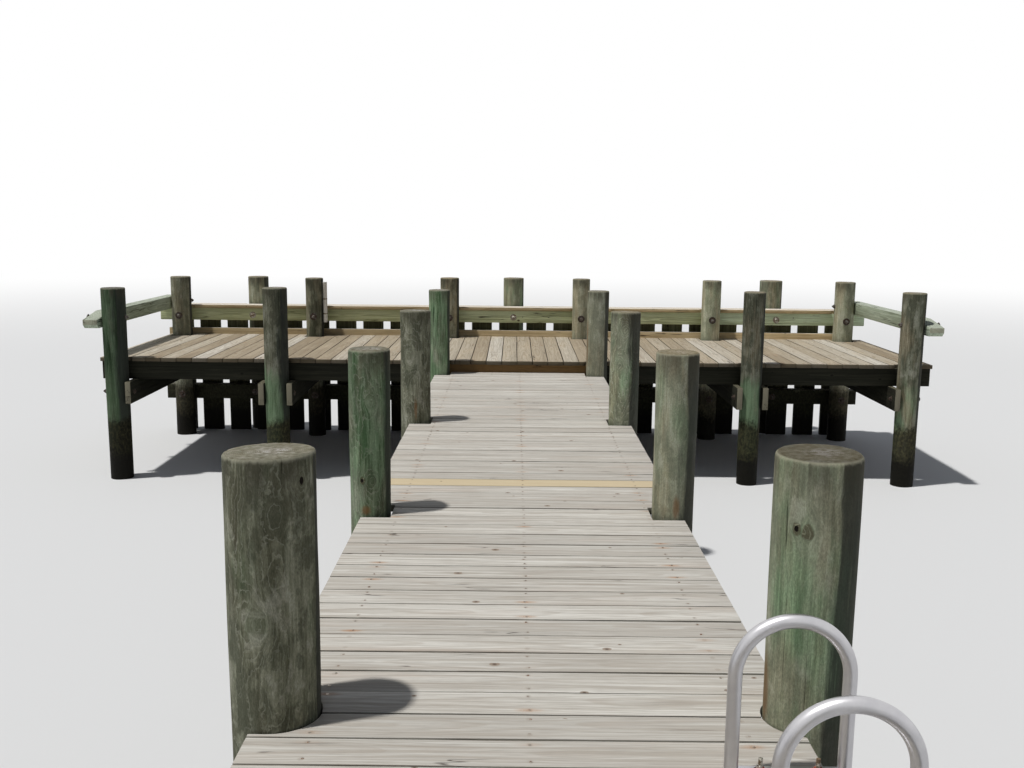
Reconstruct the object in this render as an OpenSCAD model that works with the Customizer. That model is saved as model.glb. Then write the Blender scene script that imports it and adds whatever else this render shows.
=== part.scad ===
// Wooden jetty: a plank walkway on pairs of timber piles that leads out to a wider platform at its
// head, with a wave screen along the seaward side and a bathing ladder on the walkway.
// Millimetres. Z = 0 is the water line, +Y points out to sea, X = 0 is the middle of the platform.

/* [Levels] */
// Height of the walkway boards above the water
walk_level = 1050; // [900:10:1400]
// Step up from the walkway to the platform
platform_step = 114; // [90:2:180]
// Height of the upper wale's underside above the walkway boards
wale_rise = 272; // [220:2:400]
// Height of the lower wale's underside above the water
low_wale_level = 396; // [250:2:500]

/* [Walkway] */
// Width of the walkway over the ends of its boards
walk_w = 1600; // [1400:10:1800]
// How far the walkway sits to the right of the platform's middle
walk_shift = 30; // [0:5:60]
// Distance between the outer stringers, centre to centre
stringer_gap = 1250; // [1000:10:1300]
// Distance from the last piles to the land end of the boards
land_overhang = 170; // [120:5:400]

/* [Platform] */
// Length of the platform's front fascia
platform_w = 7980; // [7900:10:8100]
// Distance between the front and back rows of piles
row_gap = 2060; // [1900:10:2300]
// Length of the wales along the seaward side
wale_len = 8164; // [8100:4:8300]
// How far the wales sit to the left of the platform's middle
wale_shift = 45; // [0:5:60]
// Number of upright boards in the wave screen
screen_boards = 25; // [21:2:25]
// Spacing of the upright boards
screen_pitch = 319.5; // [300:0.5:321]
// How far the wave screen sits to the left of the platform's middle
screen_shift = 82; // [60:2:90]

/* [Timber sizes] */
// Thickness of boards and planks
plank_t = 38; // [30:1:50]
// Height of the stringers under the walkway
stringer_h = 184; // [140:1:240]
// Height of the platform's joists and fascia
joist_h = 175; // [140:1:240]
// Height of the split caps that clamp the piles
cap_h = 210; // [180:1:250]
// Thickness of each half of a split cap
cap_t = 54; // [45:1:75]
// Side of the square wales and side rails
wale_size = 140; // [120:1:160]
// Height of the lower wale
low_wale_h = 168; // [140:1:190]
// Height of the kick board behind the back piles
kick_h = 282; // [235:1:300]
// Thickness of the kick board and of the screen boards
thick_t = 50; // [38:1:60]
// Width of a screen board
screen_w = 235; // [200:1:240]
// Width of the cap board on top of the wave screen
coping_w = 240; // [220:1:260]
// How deep a beam is let into the side of a pile
dap = 8; // [4:1:12]

/* [Ladder] */
// Outside diameter of the ladder's tube
tube_d = 38; // [32:1:45]
// Distance between a hoop's legs, centre to centre
hoop_w = 302; // [300:2:380]
// Height of the hoops above the walkway boards
hoop_h = 450; // [400:5:500]
// Distance between the two hoops
ladder_w = 460; // [400:5:520]
// Distance from the pile centres behind it to the seaward hoop
ladder_back = 325; // [270:5:500]
// Spacing of the treads
tread_pitch = 290; // [250:5:310]
// Depth of a tread
tread_depth = 75; // [60:1:90]

/* [Rod holder] */
// Outside diameter of the rod holder
holder_d = 48; // [40:1:60]
// Length of the rod holder
holder_len = 460; // [300:10:500]

/* [Hidden] */
$fn = 48;

// Bay lengths from the land end out to the platform: driven piles never stand at quite an even pitch.
bay_lengths = [2210, 2210, 2110, 2330, 2300];
// Each pair of walkway piles, left then right: place across the jetty, diameter, height above the boards,
// and where they differ from the rest, the worn rim's width and the angles at which the head is sawn.
walk_posts = [
    [[-735, 226, 792], [795, 234, 806, 14]],
    [[-742, 238, 812, 12], [788, 218, 790]],
    [[-718, 268, 796, 11, [-2.5, -1.5]], [855, 250, 811, 20, [0, -1]]],
    [[-733, 207, 824, 14], [785, 212, 822, 11]],
    [[-732, 220, 806, 6, [-1.5, 0]], [780, 215, 810, 6, [-2, 1]]]
];
// The two rows under the platform and the three piles on the seaward side, in the same form.
front_posts = [[-3810, 222, 786], [-2283, 230, 802], [-730, 200, 796],
               [768, 206, 800], [2244, 206, 805], [3748, 220, 810]];
back_posts = [[-3842, 226, 779], [-2312, 204, 776], [-762, 216, 792],
              [742, 200, 794], [2234, 216, 788], [3758, 226, 786]];
outer_posts = [[-3056, 238, 764], [-32, 240, 774], [3014, 262, 770]];

taper = 0.005;                    // a pile loses this much diameter per millimetre down from its head
head_rim = 9;                     // usual width of the worn rim round a pile's head
fit_gap = 6;                      // clearance between boards and the pile they are cut round
scribed_pair = 2;                 // the boards are cut to the round of this pair of piles
scribe_gap = 2;                   // clearance of that round cut
function total(v, n) = n == 0 ? 0 : v[n - 1] + total(v, n - 1);

// Levels
walk_under = walk_level - plank_t;
walk_cap_top = walk_under - stringer_h;
deck_level = walk_level + platform_step;
deck_under = deck_level - plank_t;
joist_under = deck_under - joist_h;
wale_bottom = walk_level + wale_rise;
wale_top = wale_bottom + wale_size;
kick_top = walk_level + 182;      // stands 68 above the platform's boards

// Places along the jetty
outer_d = max([for (p = outer_posts) p[1]]);
front_gap = 104;                  // from the front pile centres to the fascia's face
back_gap = 106;                   // from the back pile centres to the kick board's face
sea_depth = row_gap + back_gap + wale_size + thick_t + outer_d;
walk_run = total(bay_lengths, len(bay_lengths));
front_y = (land_overhang + walk_run - sea_depth) / 2;
back_y = front_y + row_gap;
fascia_y = front_y + front_gap;
kick_y = back_y + back_gap;
screen_y = kick_y + wale_size;
land_y = front_y - walk_run - land_overhang;
function pair_y(i) = front_y - walk_run + total(bay_lengths, i);

// Piles as [x, y, diameter, level of the head, width of its worn rim, angles of the head]
function placed(p, y) = [p[0], y, p[1], walk_level + p[2], is_undef(p[3]) ? head_rim : p[3], p[4]];
function walk_pile(i, side) = placed(walk_posts[i][side], pair_y(i));
function front_pile(i) = placed(front_posts[i], front_y);
function back_pile(i) = placed(back_posts[i], back_y);
function outer_pile(i) = placed(outer_posts[i], screen_y + thick_t + outer_posts[i][1] / 2);

timber = "#8f9a78";
weathered = "#c9c5b8";
tan_board = "#b39b74";
wet = "#4b4a3a";
alloy = "#c4c8ca";

// A box from its low corner to its high corner.
module block(low, high) {
    translate(low) cube(high - low);
}

// Round timber pile: standing on the water line, widest just under its worn head. A head sawn out of
// square is left a little long and cut by a tilted plane, so that its rim is worn more on the low side.
module pile(p) {
    r = p[2] / 2;
    slope = p[5];
    spare = is_undef(slope) ? 0 : r * tan(norm(slope)) / 2;
    head = p[3] + spare;
    rim = p[4] + spare;
    foot_r = r - p[3] * taper / 2;
    translate([p[0], p[1], 0]) difference() {
        rotate_extrude() polygon([[0, 0], [foot_r, 0], [r, head - rim], [r - rim, head], [0, head]]);
        if (spare > 0)
            translate([0, 0, p[3]]) rotate([slope[0], slope[1], 0]) translate([-2 * r, -2 * r, 0])
                cube([4 * r, 4 * r, 2 * r]);
    }
}

// Square opening through boards at a pile.
module pile_notch(p) {
    half = p[2] / 2 + fit_gap;
    translate([p[0] - half, p[1] - half, 0]) cube([2 * half, 2 * half, walk_level * 2]);
}

// Opening scribed to the round of a pile, open to the edge of the boards on the side given.
module scribed_notch(p, side) {
    r = p[2] / 2 + scribe_gap;
    translate([p[0], p[1], 0]) {
        cylinder(r = r, h = walk_level * 2);
        translate([min(0, side * 2 * r), -r, 0]) cube([2 * r, 2 * r, walk_level * 2]);
    }
}

// Beam along Y on one side of two piles, let into each by the dap. The side is -1 left or 1 right.
module beam_along(a, b, side, y_from, y_to, level, height, thick) {
    xa = a[0] + side * (a[2] / 2 - dap);
    xb = b[0] + side * (b[2] / 2 - dap);
    slope = (xb - xa) / (b[1] - a[1]);
    x_from = xa + slope * (y_from - a[1]);
    x_to = xa + slope * (y_to - a[1]);
    translate([0, 0, level]) linear_extrude(height)
        polygon([[x_from, y_from], [x_to, y_to],
                 [x_to + side * thick, y_to], [x_from + side * thick, y_from]]);
}

// Beam along X on one side of a pair of piles. The side is -1 landward or 1 seaward.
module beam_across(a, b, side, x_from, x_to, level, height, thick) {
    ya = a[1] + side * (a[2] / 2 - dap);
    yb = b[1] + side * (b[2] / 2 - dap);
    slope = (yb - ya) / (b[0] - a[0]);
    y_from = ya + slope * (x_from - a[0]);
    y_to = ya + slope * (x_to - a[0]);
    translate([0, 0, level]) linear_extrude(height)
        polygon([[x_from, y_from], [x_to, y_to],
                 [x_to, y_to + side * thick], [x_from, y_from + side * thick]]);
}

// Split cap across a pair of piles under the stringers.
module walkway_cap(a, b) {
    reach = walk_w / 2 - 20;
    for (side = [-1, 1])
        beam_across(a, b, side, walk_shift - reach, walk_shift + reach, walk_cap_top - cap_h, cap_h, cap_t);
}

// Three planks on edge that carry the walkway's boards.
module walkway_stringers() {
    color(timber) for (i = [-1, 0, 1]) {
        x = walk_shift + 5 + i * stringer_gap / 2;
        block([x - plank_t / 2, land_y, walk_cap_top], [x + plank_t / 2, fascia_y, walk_under]);
    }
}

module walkway_pair(i) {
    color(timber) difference() {
        for (side = [0, 1]) pile(walk_pile(i, side));
        walkway_cap(walk_pile(i, 0), walk_pile(i, 1));
        walkway_stringers();
    }
}

// Decking of one bay, cut out round the piles at both ends.
module walkway_deck(i) {
    last = len(bay_lengths) - 1;
    y_from = i == 0 ? land_y : pair_y(i);
    y_to = i == last ? fascia_y : pair_y(i + 1);
    color(weathered) difference() {
        block([walk_shift - walk_w / 2, y_from, walk_under],
              [walk_shift + walk_w / 2, y_to, walk_level]);
        for (side = [0, 1], end = [i, i + 1]) {
            p = end > last ? front_pile(2 + side) : walk_pile(end, side);
            if (end == scribed_pair) scribed_notch(p, 2 * side - 1);
            else pile_notch(p);
        }
    }
}

// Split cap along one line of platform piles. The end lines have the inner half only, and the lines
// beside the walkway the outer half only.
module platform_cap(i) {
    sides = i == 0 || i == 3 ? [1] : i == 5 || i == 2 ? [-1] : [-1, 1];
    color(timber) for (side = sides)
        beam_along(front_pile(i), back_pile(i), side, front_y - 100, kick_y,
                   joist_under - cap_h, cap_h, cap_t);
}

module front_fascia() {
    color(timber) block([-platform_w / 2, fascia_y, joist_under],
                        [platform_w / 2, fascia_y + plank_t, deck_under]);
}

// Two joists between the rows and one against the back piles.
module platform_joists() {
    last = back_y - back_gap - plank_t + 2 * dap;
    step = (last - fascia_y) / 3;
    color(timber) for (i = [1:3]) {
        y = fascia_y + i * step;
        block([-platform_w / 2, y, joist_under], [platform_w / 2, y + plank_t, deck_under]);
    }
}

module kick_board() {
    color(tan_board) block([-platform_w / 2 - 40, kick_y, kick_top - kick_h],
                           [platform_w / 2 - 110, kick_y + thick_t, kick_top]);
}

module platform_deck() {
    color(tan_board) difference() {
        block([-platform_w / 2 - 10, fascia_y - 24, deck_under], [platform_w / 2 + 10, kick_y, deck_level]);
        for (i = [0:5]) {
            pile_notch(front_pile(i));
            pile_notch(back_pile(i));
        }
    }
}

module upper_wale() {
    color(timber) translate([-wale_shift, 0, 0])
        block([-wale_len / 2, kick_y, wale_bottom], [wale_len / 2, screen_y, wale_top]);
}

module lower_wale() {
    color(wet) translate([-wale_shift, 0, 0])
        block([-wale_len / 2 + 40, kick_y, low_wale_level],
              [wale_len / 2 - 40, screen_y, low_wale_level + low_wale_h]);
}

// Upright boards with open gaps between them, from the top of the wale down into the water.
module wave_screen() {
    middle = (screen_boards - 1) / 2;
    color(timber) translate([-screen_shift, 0, 0]) for (i = [-middle:middle])
        block([i * screen_pitch - screen_w / 2, screen_y, 0],
              [i * screen_pitch + screen_w / 2, screen_y + thick_t, wale_top]);
}

// Flat board over the wale and the screen, cut round the back piles and the outer piles.
module cap_board() {
    overhang = 12;
    color(tan_board) difference() {
        block([back_pile(0)[0], kick_y - overhang, wale_top],
              [back_pile(5)[0], kick_y - overhang + coping_w, wale_top + plank_t]);
        for (i = [0:5]) pile_notch(back_pile(i));
        for (i = [0:2]) pile_notch(outer_pile(i));
    }
}

// Side rail outside the corner piles, on the end of the wale. Its landward end slopes down on top and
// is cut back underneath.
module side_rail(a, b, side) {
    end_y = front_y - 150;
    slope_len = 330;
    slope_drop = 58;
    undercut = 34;
    intersection() {
        beam_along(a, b, side, end_y, screen_y, wale_top, wale_size, wale_size);
        translate([a[0] - 500, end_y, wale_top]) rotate([90, 0, 90]) linear_extrude(1000)
            polygon([[undercut, 0], [0, undercut], [0, wale_size - slope_drop], [slope_len, wale_size],
                     [screen_y - end_y, wale_size], [screen_y - end_y, 0]]);
    }
}

module side_rail_left() {
    color(timber) side_rail(front_pile(0), back_pile(0), -1);
}

module side_rail_right() {
    color(timber) side_rail(front_pile(5), back_pile(5), 1);
}

// Everything that is let into the platform's piles.
module platform_members() {
    for (i = [0:5]) platform_cap(i);
    walkway_cap(front_pile(2), front_pile(3));
    walkway_stringers();
    front_fascia();
    platform_joists();
    kick_board();
    side_rail_left();
    side_rail_right();
}

module front_pair(i) {
    color(timber) difference() {
        for (n = [i, i + 1]) pile(front_pile(n));
        platform_members();
    }
}

module back_pair(i) {
    color(timber) difference() {
        for (n = [i, i + 1]) pile(back_pile(n));
        platform_members();
        upper_wale();
        lower_wale();
    }
}

// Ladder: two bent tube hoops, each on a flat plate bolted to the boards between its legs. The outer legs
// run down past the boards and carry ribbed treads, whose ends are coped round the tube.
leg_in = walk_shift + walk_w / 2 - 262;
leg_out = leg_in + hoop_w;
hoop_y = pair_y(2) - ladder_back;
legs_y = [hoop_y - ladder_w, hoop_y];
plate_t = 6;
plate_back = 20;                  // how far a plate reaches landward of its hoop
plate_front = 32;                 // and seaward of it

module ladder_hoop(y) {
    r = hoop_w / 2;
    spring = walk_level + hoop_h - tube_d / 2 - r;
    translate([leg_in + r, y, spring]) rotate([90, 0, 0]) rotate_extrude(angle = 180)
        translate([r, 0]) circle(d = tube_d);
    translate([leg_in, y, walk_level]) cylinder(d = tube_d, h = spring - walk_level);
    translate([leg_out, y, 0]) cylinder(d = tube_d, h = spring);
    block([leg_in, y - plate_back, walk_level], [leg_out, y + plate_front, walk_level + plate_t]);
}

module ladder_hoops() {
    color(alloy) for (y = legs_y) ladder_hoop(y);
}

// Section of a tread: a channel open below, with ribs along its top. Its origin is on the leg's line.
module tread_section() {
    wall = 4;
    height = 26;
    rib = [5, 3];
    half = tread_depth / 2;
    difference() {
        translate([-half, -height]) square([tread_depth, height]);
        translate([-half + wall, -height - 1]) square([tread_depth - 2 * wall, height - wall + 1]);
    }
    for (x = [-half : (tread_depth - rib[0]) / 6 : half - rib[0] + 1])
        translate([x, -1]) square(rib + [0, 1]);
}

module ladder_treads() {
    color(alloy) for (level = [walk_level - 190 : -tread_pitch : tread_pitch / 2]) difference() {
        translate([leg_out, legs_y[1], level]) rotate([90, 0, 0]) linear_extrude(ladder_w) tread_section();
        for (y = legs_y) translate([leg_out, y, 0]) cylinder(d = tube_d, h = walk_level);
    }
}

// Open tube fixed to the side of a back pile.
module rod_holder() {
    p = back_pile(1);
    bore_d = holder_d - 8;
    color("white") translate([p[0] + p[2] / 2 + holder_d / 2, p[1] - 30, wale_bottom]) difference() {
        cylinder(d = holder_d, h = holder_len);
        translate([0, 0, 12]) cylinder(d = bore_d, h = holder_len);
    }
}

walkway_pair(0);  // walkway_piles_1
walkway_pair(1);  // walkway_piles_2
walkway_pair(2);  // walkway_piles_3
walkway_pair(3);  // walkway_piles_4
walkway_pair(4);  // walkway_piles_5
front_pair(0);  // front_piles_left
front_pair(2);  // front_piles_middle
front_pair(4);  // front_piles_right
back_pair(0);  // back_piles_left
back_pair(2);  // back_piles_middle
back_pair(4);  // back_piles_right
color(timber) pile(outer_pile(0));  // outer_pile_left
color(timber) pile(outer_pile(1));  // outer_pile_middle
color(timber) pile(outer_pile(2));  // outer_pile_right
color(timber) walkway_cap(walk_pile(0, 0), walk_pile(0, 1));  // walkway_cap_1
color(timber) walkway_cap(walk_pile(1, 0), walk_pile(1, 1));  // walkway_cap_2
color(timber) walkway_cap(walk_pile(2, 0), walk_pile(2, 1));  // walkway_cap_3
color(timber) walkway_cap(walk_pile(3, 0), walk_pile(3, 1));  // walkway_cap_4
color(timber) walkway_cap(walk_pile(4, 0), walk_pile(4, 1));  // walkway_cap_5
color(timber) walkway_cap(front_pile(2), front_pile(3));  // walkway_cap_6
walkway_stringers();
walkway_deck(0);  // walkway_deck_1
walkway_deck(1);  // walkway_deck_2
walkway_deck(2);  // walkway_deck_3
walkway_deck(3);  // walkway_deck_4
walkway_deck(4);  // walkway_deck_5
platform_cap(0);  // platform_cap_1
platform_cap(1);  // platform_cap_2
platform_cap(2);  // platform_cap_3
platform_cap(3);  // platform_cap_4
platform_cap(4);  // platform_cap_5
platform_cap(5);  // platform_cap_6
platform_joists();
front_fascia();
platform_deck();
kick_board();
upper_wale();
lower_wale();
wave_screen();
cap_board();
side_rail_left();
side_rail_right();
ladder_hoops();
ladder_treads();
rod_holder();
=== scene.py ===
import math
import random
from types import SimpleNamespace

import bmesh
import bpy
import numpy as np
from mathutils import Matrix, Vector


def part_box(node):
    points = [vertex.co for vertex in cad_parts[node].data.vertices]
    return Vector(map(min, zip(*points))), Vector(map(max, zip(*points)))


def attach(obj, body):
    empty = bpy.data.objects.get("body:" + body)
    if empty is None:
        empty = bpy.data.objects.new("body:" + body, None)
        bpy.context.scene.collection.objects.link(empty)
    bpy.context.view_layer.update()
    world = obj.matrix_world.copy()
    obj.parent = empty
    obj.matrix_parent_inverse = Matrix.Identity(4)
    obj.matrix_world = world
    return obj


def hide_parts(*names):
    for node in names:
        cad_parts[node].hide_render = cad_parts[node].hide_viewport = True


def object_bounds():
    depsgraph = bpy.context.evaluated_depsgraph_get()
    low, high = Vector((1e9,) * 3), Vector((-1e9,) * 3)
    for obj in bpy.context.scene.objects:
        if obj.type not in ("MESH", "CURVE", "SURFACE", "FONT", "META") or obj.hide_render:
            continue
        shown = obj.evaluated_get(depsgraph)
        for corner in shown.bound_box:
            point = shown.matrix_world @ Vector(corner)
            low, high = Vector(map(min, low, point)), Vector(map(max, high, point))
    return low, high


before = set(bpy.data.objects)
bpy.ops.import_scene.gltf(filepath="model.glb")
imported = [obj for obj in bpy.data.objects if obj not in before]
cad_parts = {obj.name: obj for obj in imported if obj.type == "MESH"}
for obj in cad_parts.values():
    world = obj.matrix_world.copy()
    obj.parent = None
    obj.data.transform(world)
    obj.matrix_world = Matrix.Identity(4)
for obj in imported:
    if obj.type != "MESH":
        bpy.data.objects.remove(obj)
cad_low, cad_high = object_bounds()

# Looks of a weathered timber jetty: boards, piles, beams, fastenings, a tube ladder and a rod holder.
# Metres, +Y out to sea, +Z up, with the water line at Z = 0.


def mid_level(node):
    low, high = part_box(node)
    return (low.z + high.z) / 2


# Levels and places that the frame gives
DECK_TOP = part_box("walkway_deck_1")[1].z
WALE_LEVEL = mid_level("upper_wale")
LOW_WALE_LEVEL = mid_level("lower_wale")
RAIL_BOLT_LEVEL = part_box("side_rail_left")[1].z - 0.045
ROW_PARTS = ("left", "middle", "right")
WALKWAY_PAIRS = {n: ["walkway_pile_%d_left" % n, "walkway_pile_%d_right" % n] for n in range(1, 6)}
NEAR_PILES = WALKWAY_PAIRS[3] + WALKWAY_PAIRS[4]

# Boards
WALK_PITCH = 0.146
WALK_SEAM = -0.054
PLATFORM_PITCH = 0.149
PLATFORM_SEAM = 0.01
WALK_GAP = 0.0062
PLATFORM_GAP = 0.005
PILE_GAP = 0.006
SCRIBE_GAP = 0.002
SCRIBED = WALKWAY_PAIRS[3]
NEWER_BOARD_Y = 0.31
SCREW_OFFSET = 0.045

# Timber finish
ARRIS = 0.0035
LOOP_STEP = 0.26

# Camera: eye height over the walkway, distance to the platform's front piles, and its aim in degrees
EYE_HEIGHT = 1.453
EYE_DISTANCE = 9.57
EYE_X = -0.02
LENS = 35.66
PITCH_DEG = 9.2
ROLL_DEG = 0.55
YAW_DEG = 0.1


# Shader trees

def arithmetic(operation, turned=False):
    def method(self, other):
        return self.web.math(operation, *((other, self) if turned else (self, other)))
    return method


class Wire:
    """One output of a node. Adding, multiplying and so on makes a Math node, or a Vector Math node where
    either side is a vector. A tuple of three numbers is a vector or a colour."""

    __add__ = __radd__ = arithmetic("ADD")
    __sub__ = arithmetic("SUBTRACT")
    __rsub__ = arithmetic("SUBTRACT", turned=True)
    __mul__ = arithmetic("MULTIPLY")
    __truediv__ = arithmetic("DIVIDE")
    __rtruediv__ = arithmetic("DIVIDE", turned=True)

    def __init__(self, web, socket):
        self.web = web
        self.socket = socket
        self.is_vector = socket.type == "VECTOR"

    def __abs__(self):
        return self.web.math("ABSOLUTE", self)

    def parts(self):
        made = self.web.node("ShaderNodeSeparateXYZ", {0: self})
        return [Wire(self.web, socket) for socket in made.outputs]

    def length(self):
        return self.web.wire("ShaderNodeVectorMath", {0: self}, "Value", operation="LENGTH")

    def step(self, low, high, to_low=0, to_high=1):
        """Smooth step from to_low at low to to_high at high."""
        return self.web.wire("ShaderNodeMapRange", {0: self, 1: low, 2: high, 3: to_low, 4: to_high},
                             interpolation_type="SMOOTHSTEP")

    def noise(self, scales=1, detail=3, roughness=0.55):
        """Noise at this place times the scales."""
        return self.web.wire("ShaderNodeTexNoise", {"Vector": self * scales, "Scale": 1, "Detail": detail,
                                                    "Roughness": roughness}, "Fac")

    def ramp(self, *stops):
        """A colour from stops of (value, colour)."""
        made = self.web.node("ShaderNodeValToRGB", {0: self})
        elements = made.color_ramp.elements
        while len(elements) < len(stops):
            elements.new(0.5)
        for element, (place, colour) in zip(elements, stops):
            element.position = place
            element.color = (*colour, 1)
        return Wire(self.web, made.outputs["Color"])


class Web:
    """Adds nodes to one shader tree. The owner is the material, if the tree has one."""

    def __init__(self, tree, owner=None):
        self.tree = tree
        self.owner = owner

    def feed(self, socket, value):
        """Links a wire to the socket, or sets the socket's own value."""
        if isinstance(value, Wire):
            self.tree.links.new(value.socket, socket)
        elif socket.type == "RGBA":
            socket.default_value = (*value, 1)
        elif socket.type == "VECTOR" and not isinstance(value, tuple):
            socket.default_value = (value, value, value)
        else:
            socket.default_value = value

    def node(self, kind, inputs=(), **settings):
        made = self.tree.nodes.new(kind)
        for key, value in settings.items():
            setattr(made, key, value)
        for key, value in dict(inputs).items():
            self.feed(made.inputs[key], value)
        return made

    def wire(self, kind, inputs=(), output=0, **settings):
        return Wire(self, self.node(kind, inputs, **settings).outputs[output])

    def math(self, operation, *terms):
        wide = any(isinstance(term, tuple) or getattr(term, "is_vector", False) for term in terms)
        kind = "ShaderNodeVectorMath" if wide else "ShaderNodeMath"
        return self.wire(kind, enumerate(terms), operation=operation)

    def join(self, x, y, z):
        return self.wire("ShaderNodeCombineXYZ", {0: x, 1: y, 2: z})

    def mix(self, share, a, b, blend="MIX"):
        return self.wire("ShaderNodeMix", {0: share, 6: a, 7: b}, 2, data_type="RGBA", blend_type=blend)

    def times(self, colour, factor):
        return self.mix(1, colour, factor, "MULTIPLY")

    def paint(self, colour, *coats):
        """Lays each coat of (mask, colour) over what is there."""
        for mask, coat in coats:
            colour = self.mix(mask, colour, coat)
        return colour

    def value(self, name):
        """A value that the mesh stores."""
        return self.wire("ShaderNodeAttribute", output="Fac", attribute_name=name)

    def vector(self, name):
        """A vector that the mesh stores."""
        return self.wire("ShaderNodeAttribute", output="Vector", attribute_name=name)

    def position(self):
        return self.wire("ShaderNodeNewGeometry", output="Position")

    def facing_up(self):
        return self.wire("ShaderNodeNewGeometry", output="Normal").parts()[2]

    def named(self, node):
        """The node's outputs by name, in small letters."""
        return SimpleNamespace(**{socket.name.lower().replace(" ", "_"): Wire(self, socket)
                                  for socket in node.outputs})

    def group(self, name, **inputs):
        return self.named(self.node("ShaderNodeGroup", {titled(key): value for key, value in inputs.items()},
                                    node_tree=bpy.data.node_groups[name]))

    def give(self, **results):
        """Ends a node group with its named outputs."""
        for key, result in results.items():
            add_socket(self.tree, key, "OUTPUT", result.is_vector)
        self.node("NodeGroupOutput", {titled(key): result for key, result in results.items()})


def titled(key):
    return key.replace("_", " ").title()


def add_socket(tree, key, way, is_vector):
    return tree.interface.new_socket(name=titled(key), in_out=way,
                                     socket_type="NodeSocketVector" if is_vector else "NodeSocketFloat")


def start_group(name, **inputs):
    """A node group with its named inputs. A tuple makes a vector input, a number a plain one."""
    tree = bpy.data.node_groups.new(name, "ShaderNodeTree")
    for key, value in inputs.items():
        add_socket(tree, key, "INPUT", isinstance(value, tuple)).default_value = value
    web = Web(tree)
    return web, web.named(web.node("NodeGroupInput"))


ORIGIN = (0.0, 0.0, 0.0)
NO_SCREWS = 50.0


def sawn_grain_group():
    """Grain of a sawn board from its own coordinates: along the board, across it, and depth."""
    web, given = start_group("sawn grain", place=ORIGIN, pith_depth=0.06, ring=0.006, wander=0.05, knots=0.45)
    # Knots: one chance in each stretched cell, kept where the cell's own random number allows
    stretch = (1.7, 5.2, 0.6)
    cells = web.named(web.node("ShaderNodeTexVoronoi", {"Vector": given.place * stretch, "Scale": 1}))
    away = given.place - cells.position / stretch
    chance, size, _ = cells.color.parts()
    near = (away * (0.75, 1, 0)).length() / (size * 0.009 + 0.005)
    kept = web.math("LESS_THAN", chance, given.knots)
    heart = near.step(0.62, 0.1) * kept
    # The grain flows round a knot as a stream flows round a post
    flow = kept / web.math("MAXIMUM", near * near, 1)
    x, y, z = given.place.parts()
    bent = y - away.parts()[1] * flow
    place = web.join(x, bent, z)
    far = web.join(bent, z + given.pith_depth, 0).length()
    wandered = far + place.noise((0.9, 2.6, 2.6), 2) * given.wander + place.noise((5, 26, 26), 2) * 0.004
    turn = web.math("FRACT", wandered / given.ring)
    line = turn.step(0.35, 0.86) * turn.step(0.995, 0.9)
    streak = place.noise((1.5, 58, 58), 4, 0.62)
    fibre = place.noise((11, 460, 460), 2)
    web.give(ring_line=line, streak=streak, fibre=fibre, knot=near.step(1.15, 0.8) * kept, knot_heart=heart,
             height=line * 0.00045 + fibre * 0.00025 + streak * 0.0006 - heart * 0.0012)


def drying_check_group():
    """Short open splits along the grain. The materials paint them dark as the shade inside them."""
    web, given = start_group("drying checks", place=ORIGIN, amount=0.5, length=1.0)
    x, y, z = given.place.parts()
    place = web.join(x / given.length, y, z)
    split = abs(place.noise((1.6, 24, 24), 2) - 0.5).step(0.016, 0.003)
    patch = (place * (1.9, 9, 9) + (0, 0, 4.7)).noise(detail=1)
    web.give(check=split * (patch + given.amount * 0.3 - 0.72).step(0, 0.05))


def tide_group():
    """Growth above the water line: black at the foot, then mottled olive with a ragged upper edge."""
    web, given = start_group("tide marks", place=ORIGIN, height=0.0, black_to=0.3, dark_to=0.6)
    ragged = given.place.noise((46, 46, 30), 5, 0.65)
    height = given.height + ragged * 0.14 + given.place.noise((4, 4, 2.5), 2) * 0.2 - 0.17
    web.give(black=(given.black_to - height).step(-0.06, 0.1),
             dark=(given.dark_to - height).step(-0.05, 0.06), slime=ragged.step(0.36, 0.72))


def fastener_stain_group():
    """Rust and dirt run out along the grain from screws set in two rows beside a board's middle."""
    web, given = start_group("fastener stains", along=0.0, across=0.0, line_1=NO_SCREWS, line_2=NO_SCREWS,
                             line_3=NO_SCREWS, line_4=NO_SCREWS, offset=SCREW_OFFSET, seed=0.0)
    nearest = abs(given.along - given.line_1)
    for line in (given.line_2, given.line_3, given.line_4):
        nearest = web.math("MINIMUM", nearest, abs(given.along - line))
    beside = abs(given.across) - given.offset
    number = web.math("MULTIPLY_ADD", given.seed, 31.7, web.math("SIGN", given.across) * 3.3)
    cell = web.math("ROUND", given.along * 1.6)
    luck = web.wire("ShaderNodeTexWhiteNoise", {"Vector": web.join(number, cell, 0)}, "Value")
    ragged = web.join(given.along, given.across, given.seed).noise((30, 160, 1))
    run = web.join(nearest * 0.3, beside, 0).length() + ragged * 0.012
    ring = web.join(nearest, beside, 0).length()
    web.give(halo=ring.step(0.013, 0.004) * luck.step(0, 0.5, 0.45, 1),
             rust=run.step(0.024, 0.006) * luck.step(0.72, 0.97))


def knot_group():
    """One knot of a pile: how far it pushes the grain aside, the rings round it, its body and its heart."""
    web, given = start_group("knot", place=ORIGIN, centre=ORIGIN, size=0.01, heart_share=0.0, ragged=0.5)
    x, y, z = (given.place - given.centre).parts()
    holed = given.heart_share.step(0, 0.02)
    near = web.join(x, y, z * (holed * 0.1 + 0.62)).length() / web.math("MAXIMUM", given.size, 0.001)
    square = near * near
    rough = near + given.ragged * 0.9 - 0.45
    hole = (rough - given.heart_share).step(0.12, -0.06)
    web.give(push=web.join(x, y, 0) * (-1 / web.math("MAXIMUM", square, 1)),
             rings=(4.4 - holed * 1.2) / (square * 0.3 + 1), body=rough.step(1.15, 0.75) * holed,
             heart=hole * given.heart_share.step(0.03, 0.12))


# Materials

def new_material(name):
    made = bpy.data.materials.new(name)
    made.use_nodes = True
    return Web(made.node_tree, made)


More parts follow.
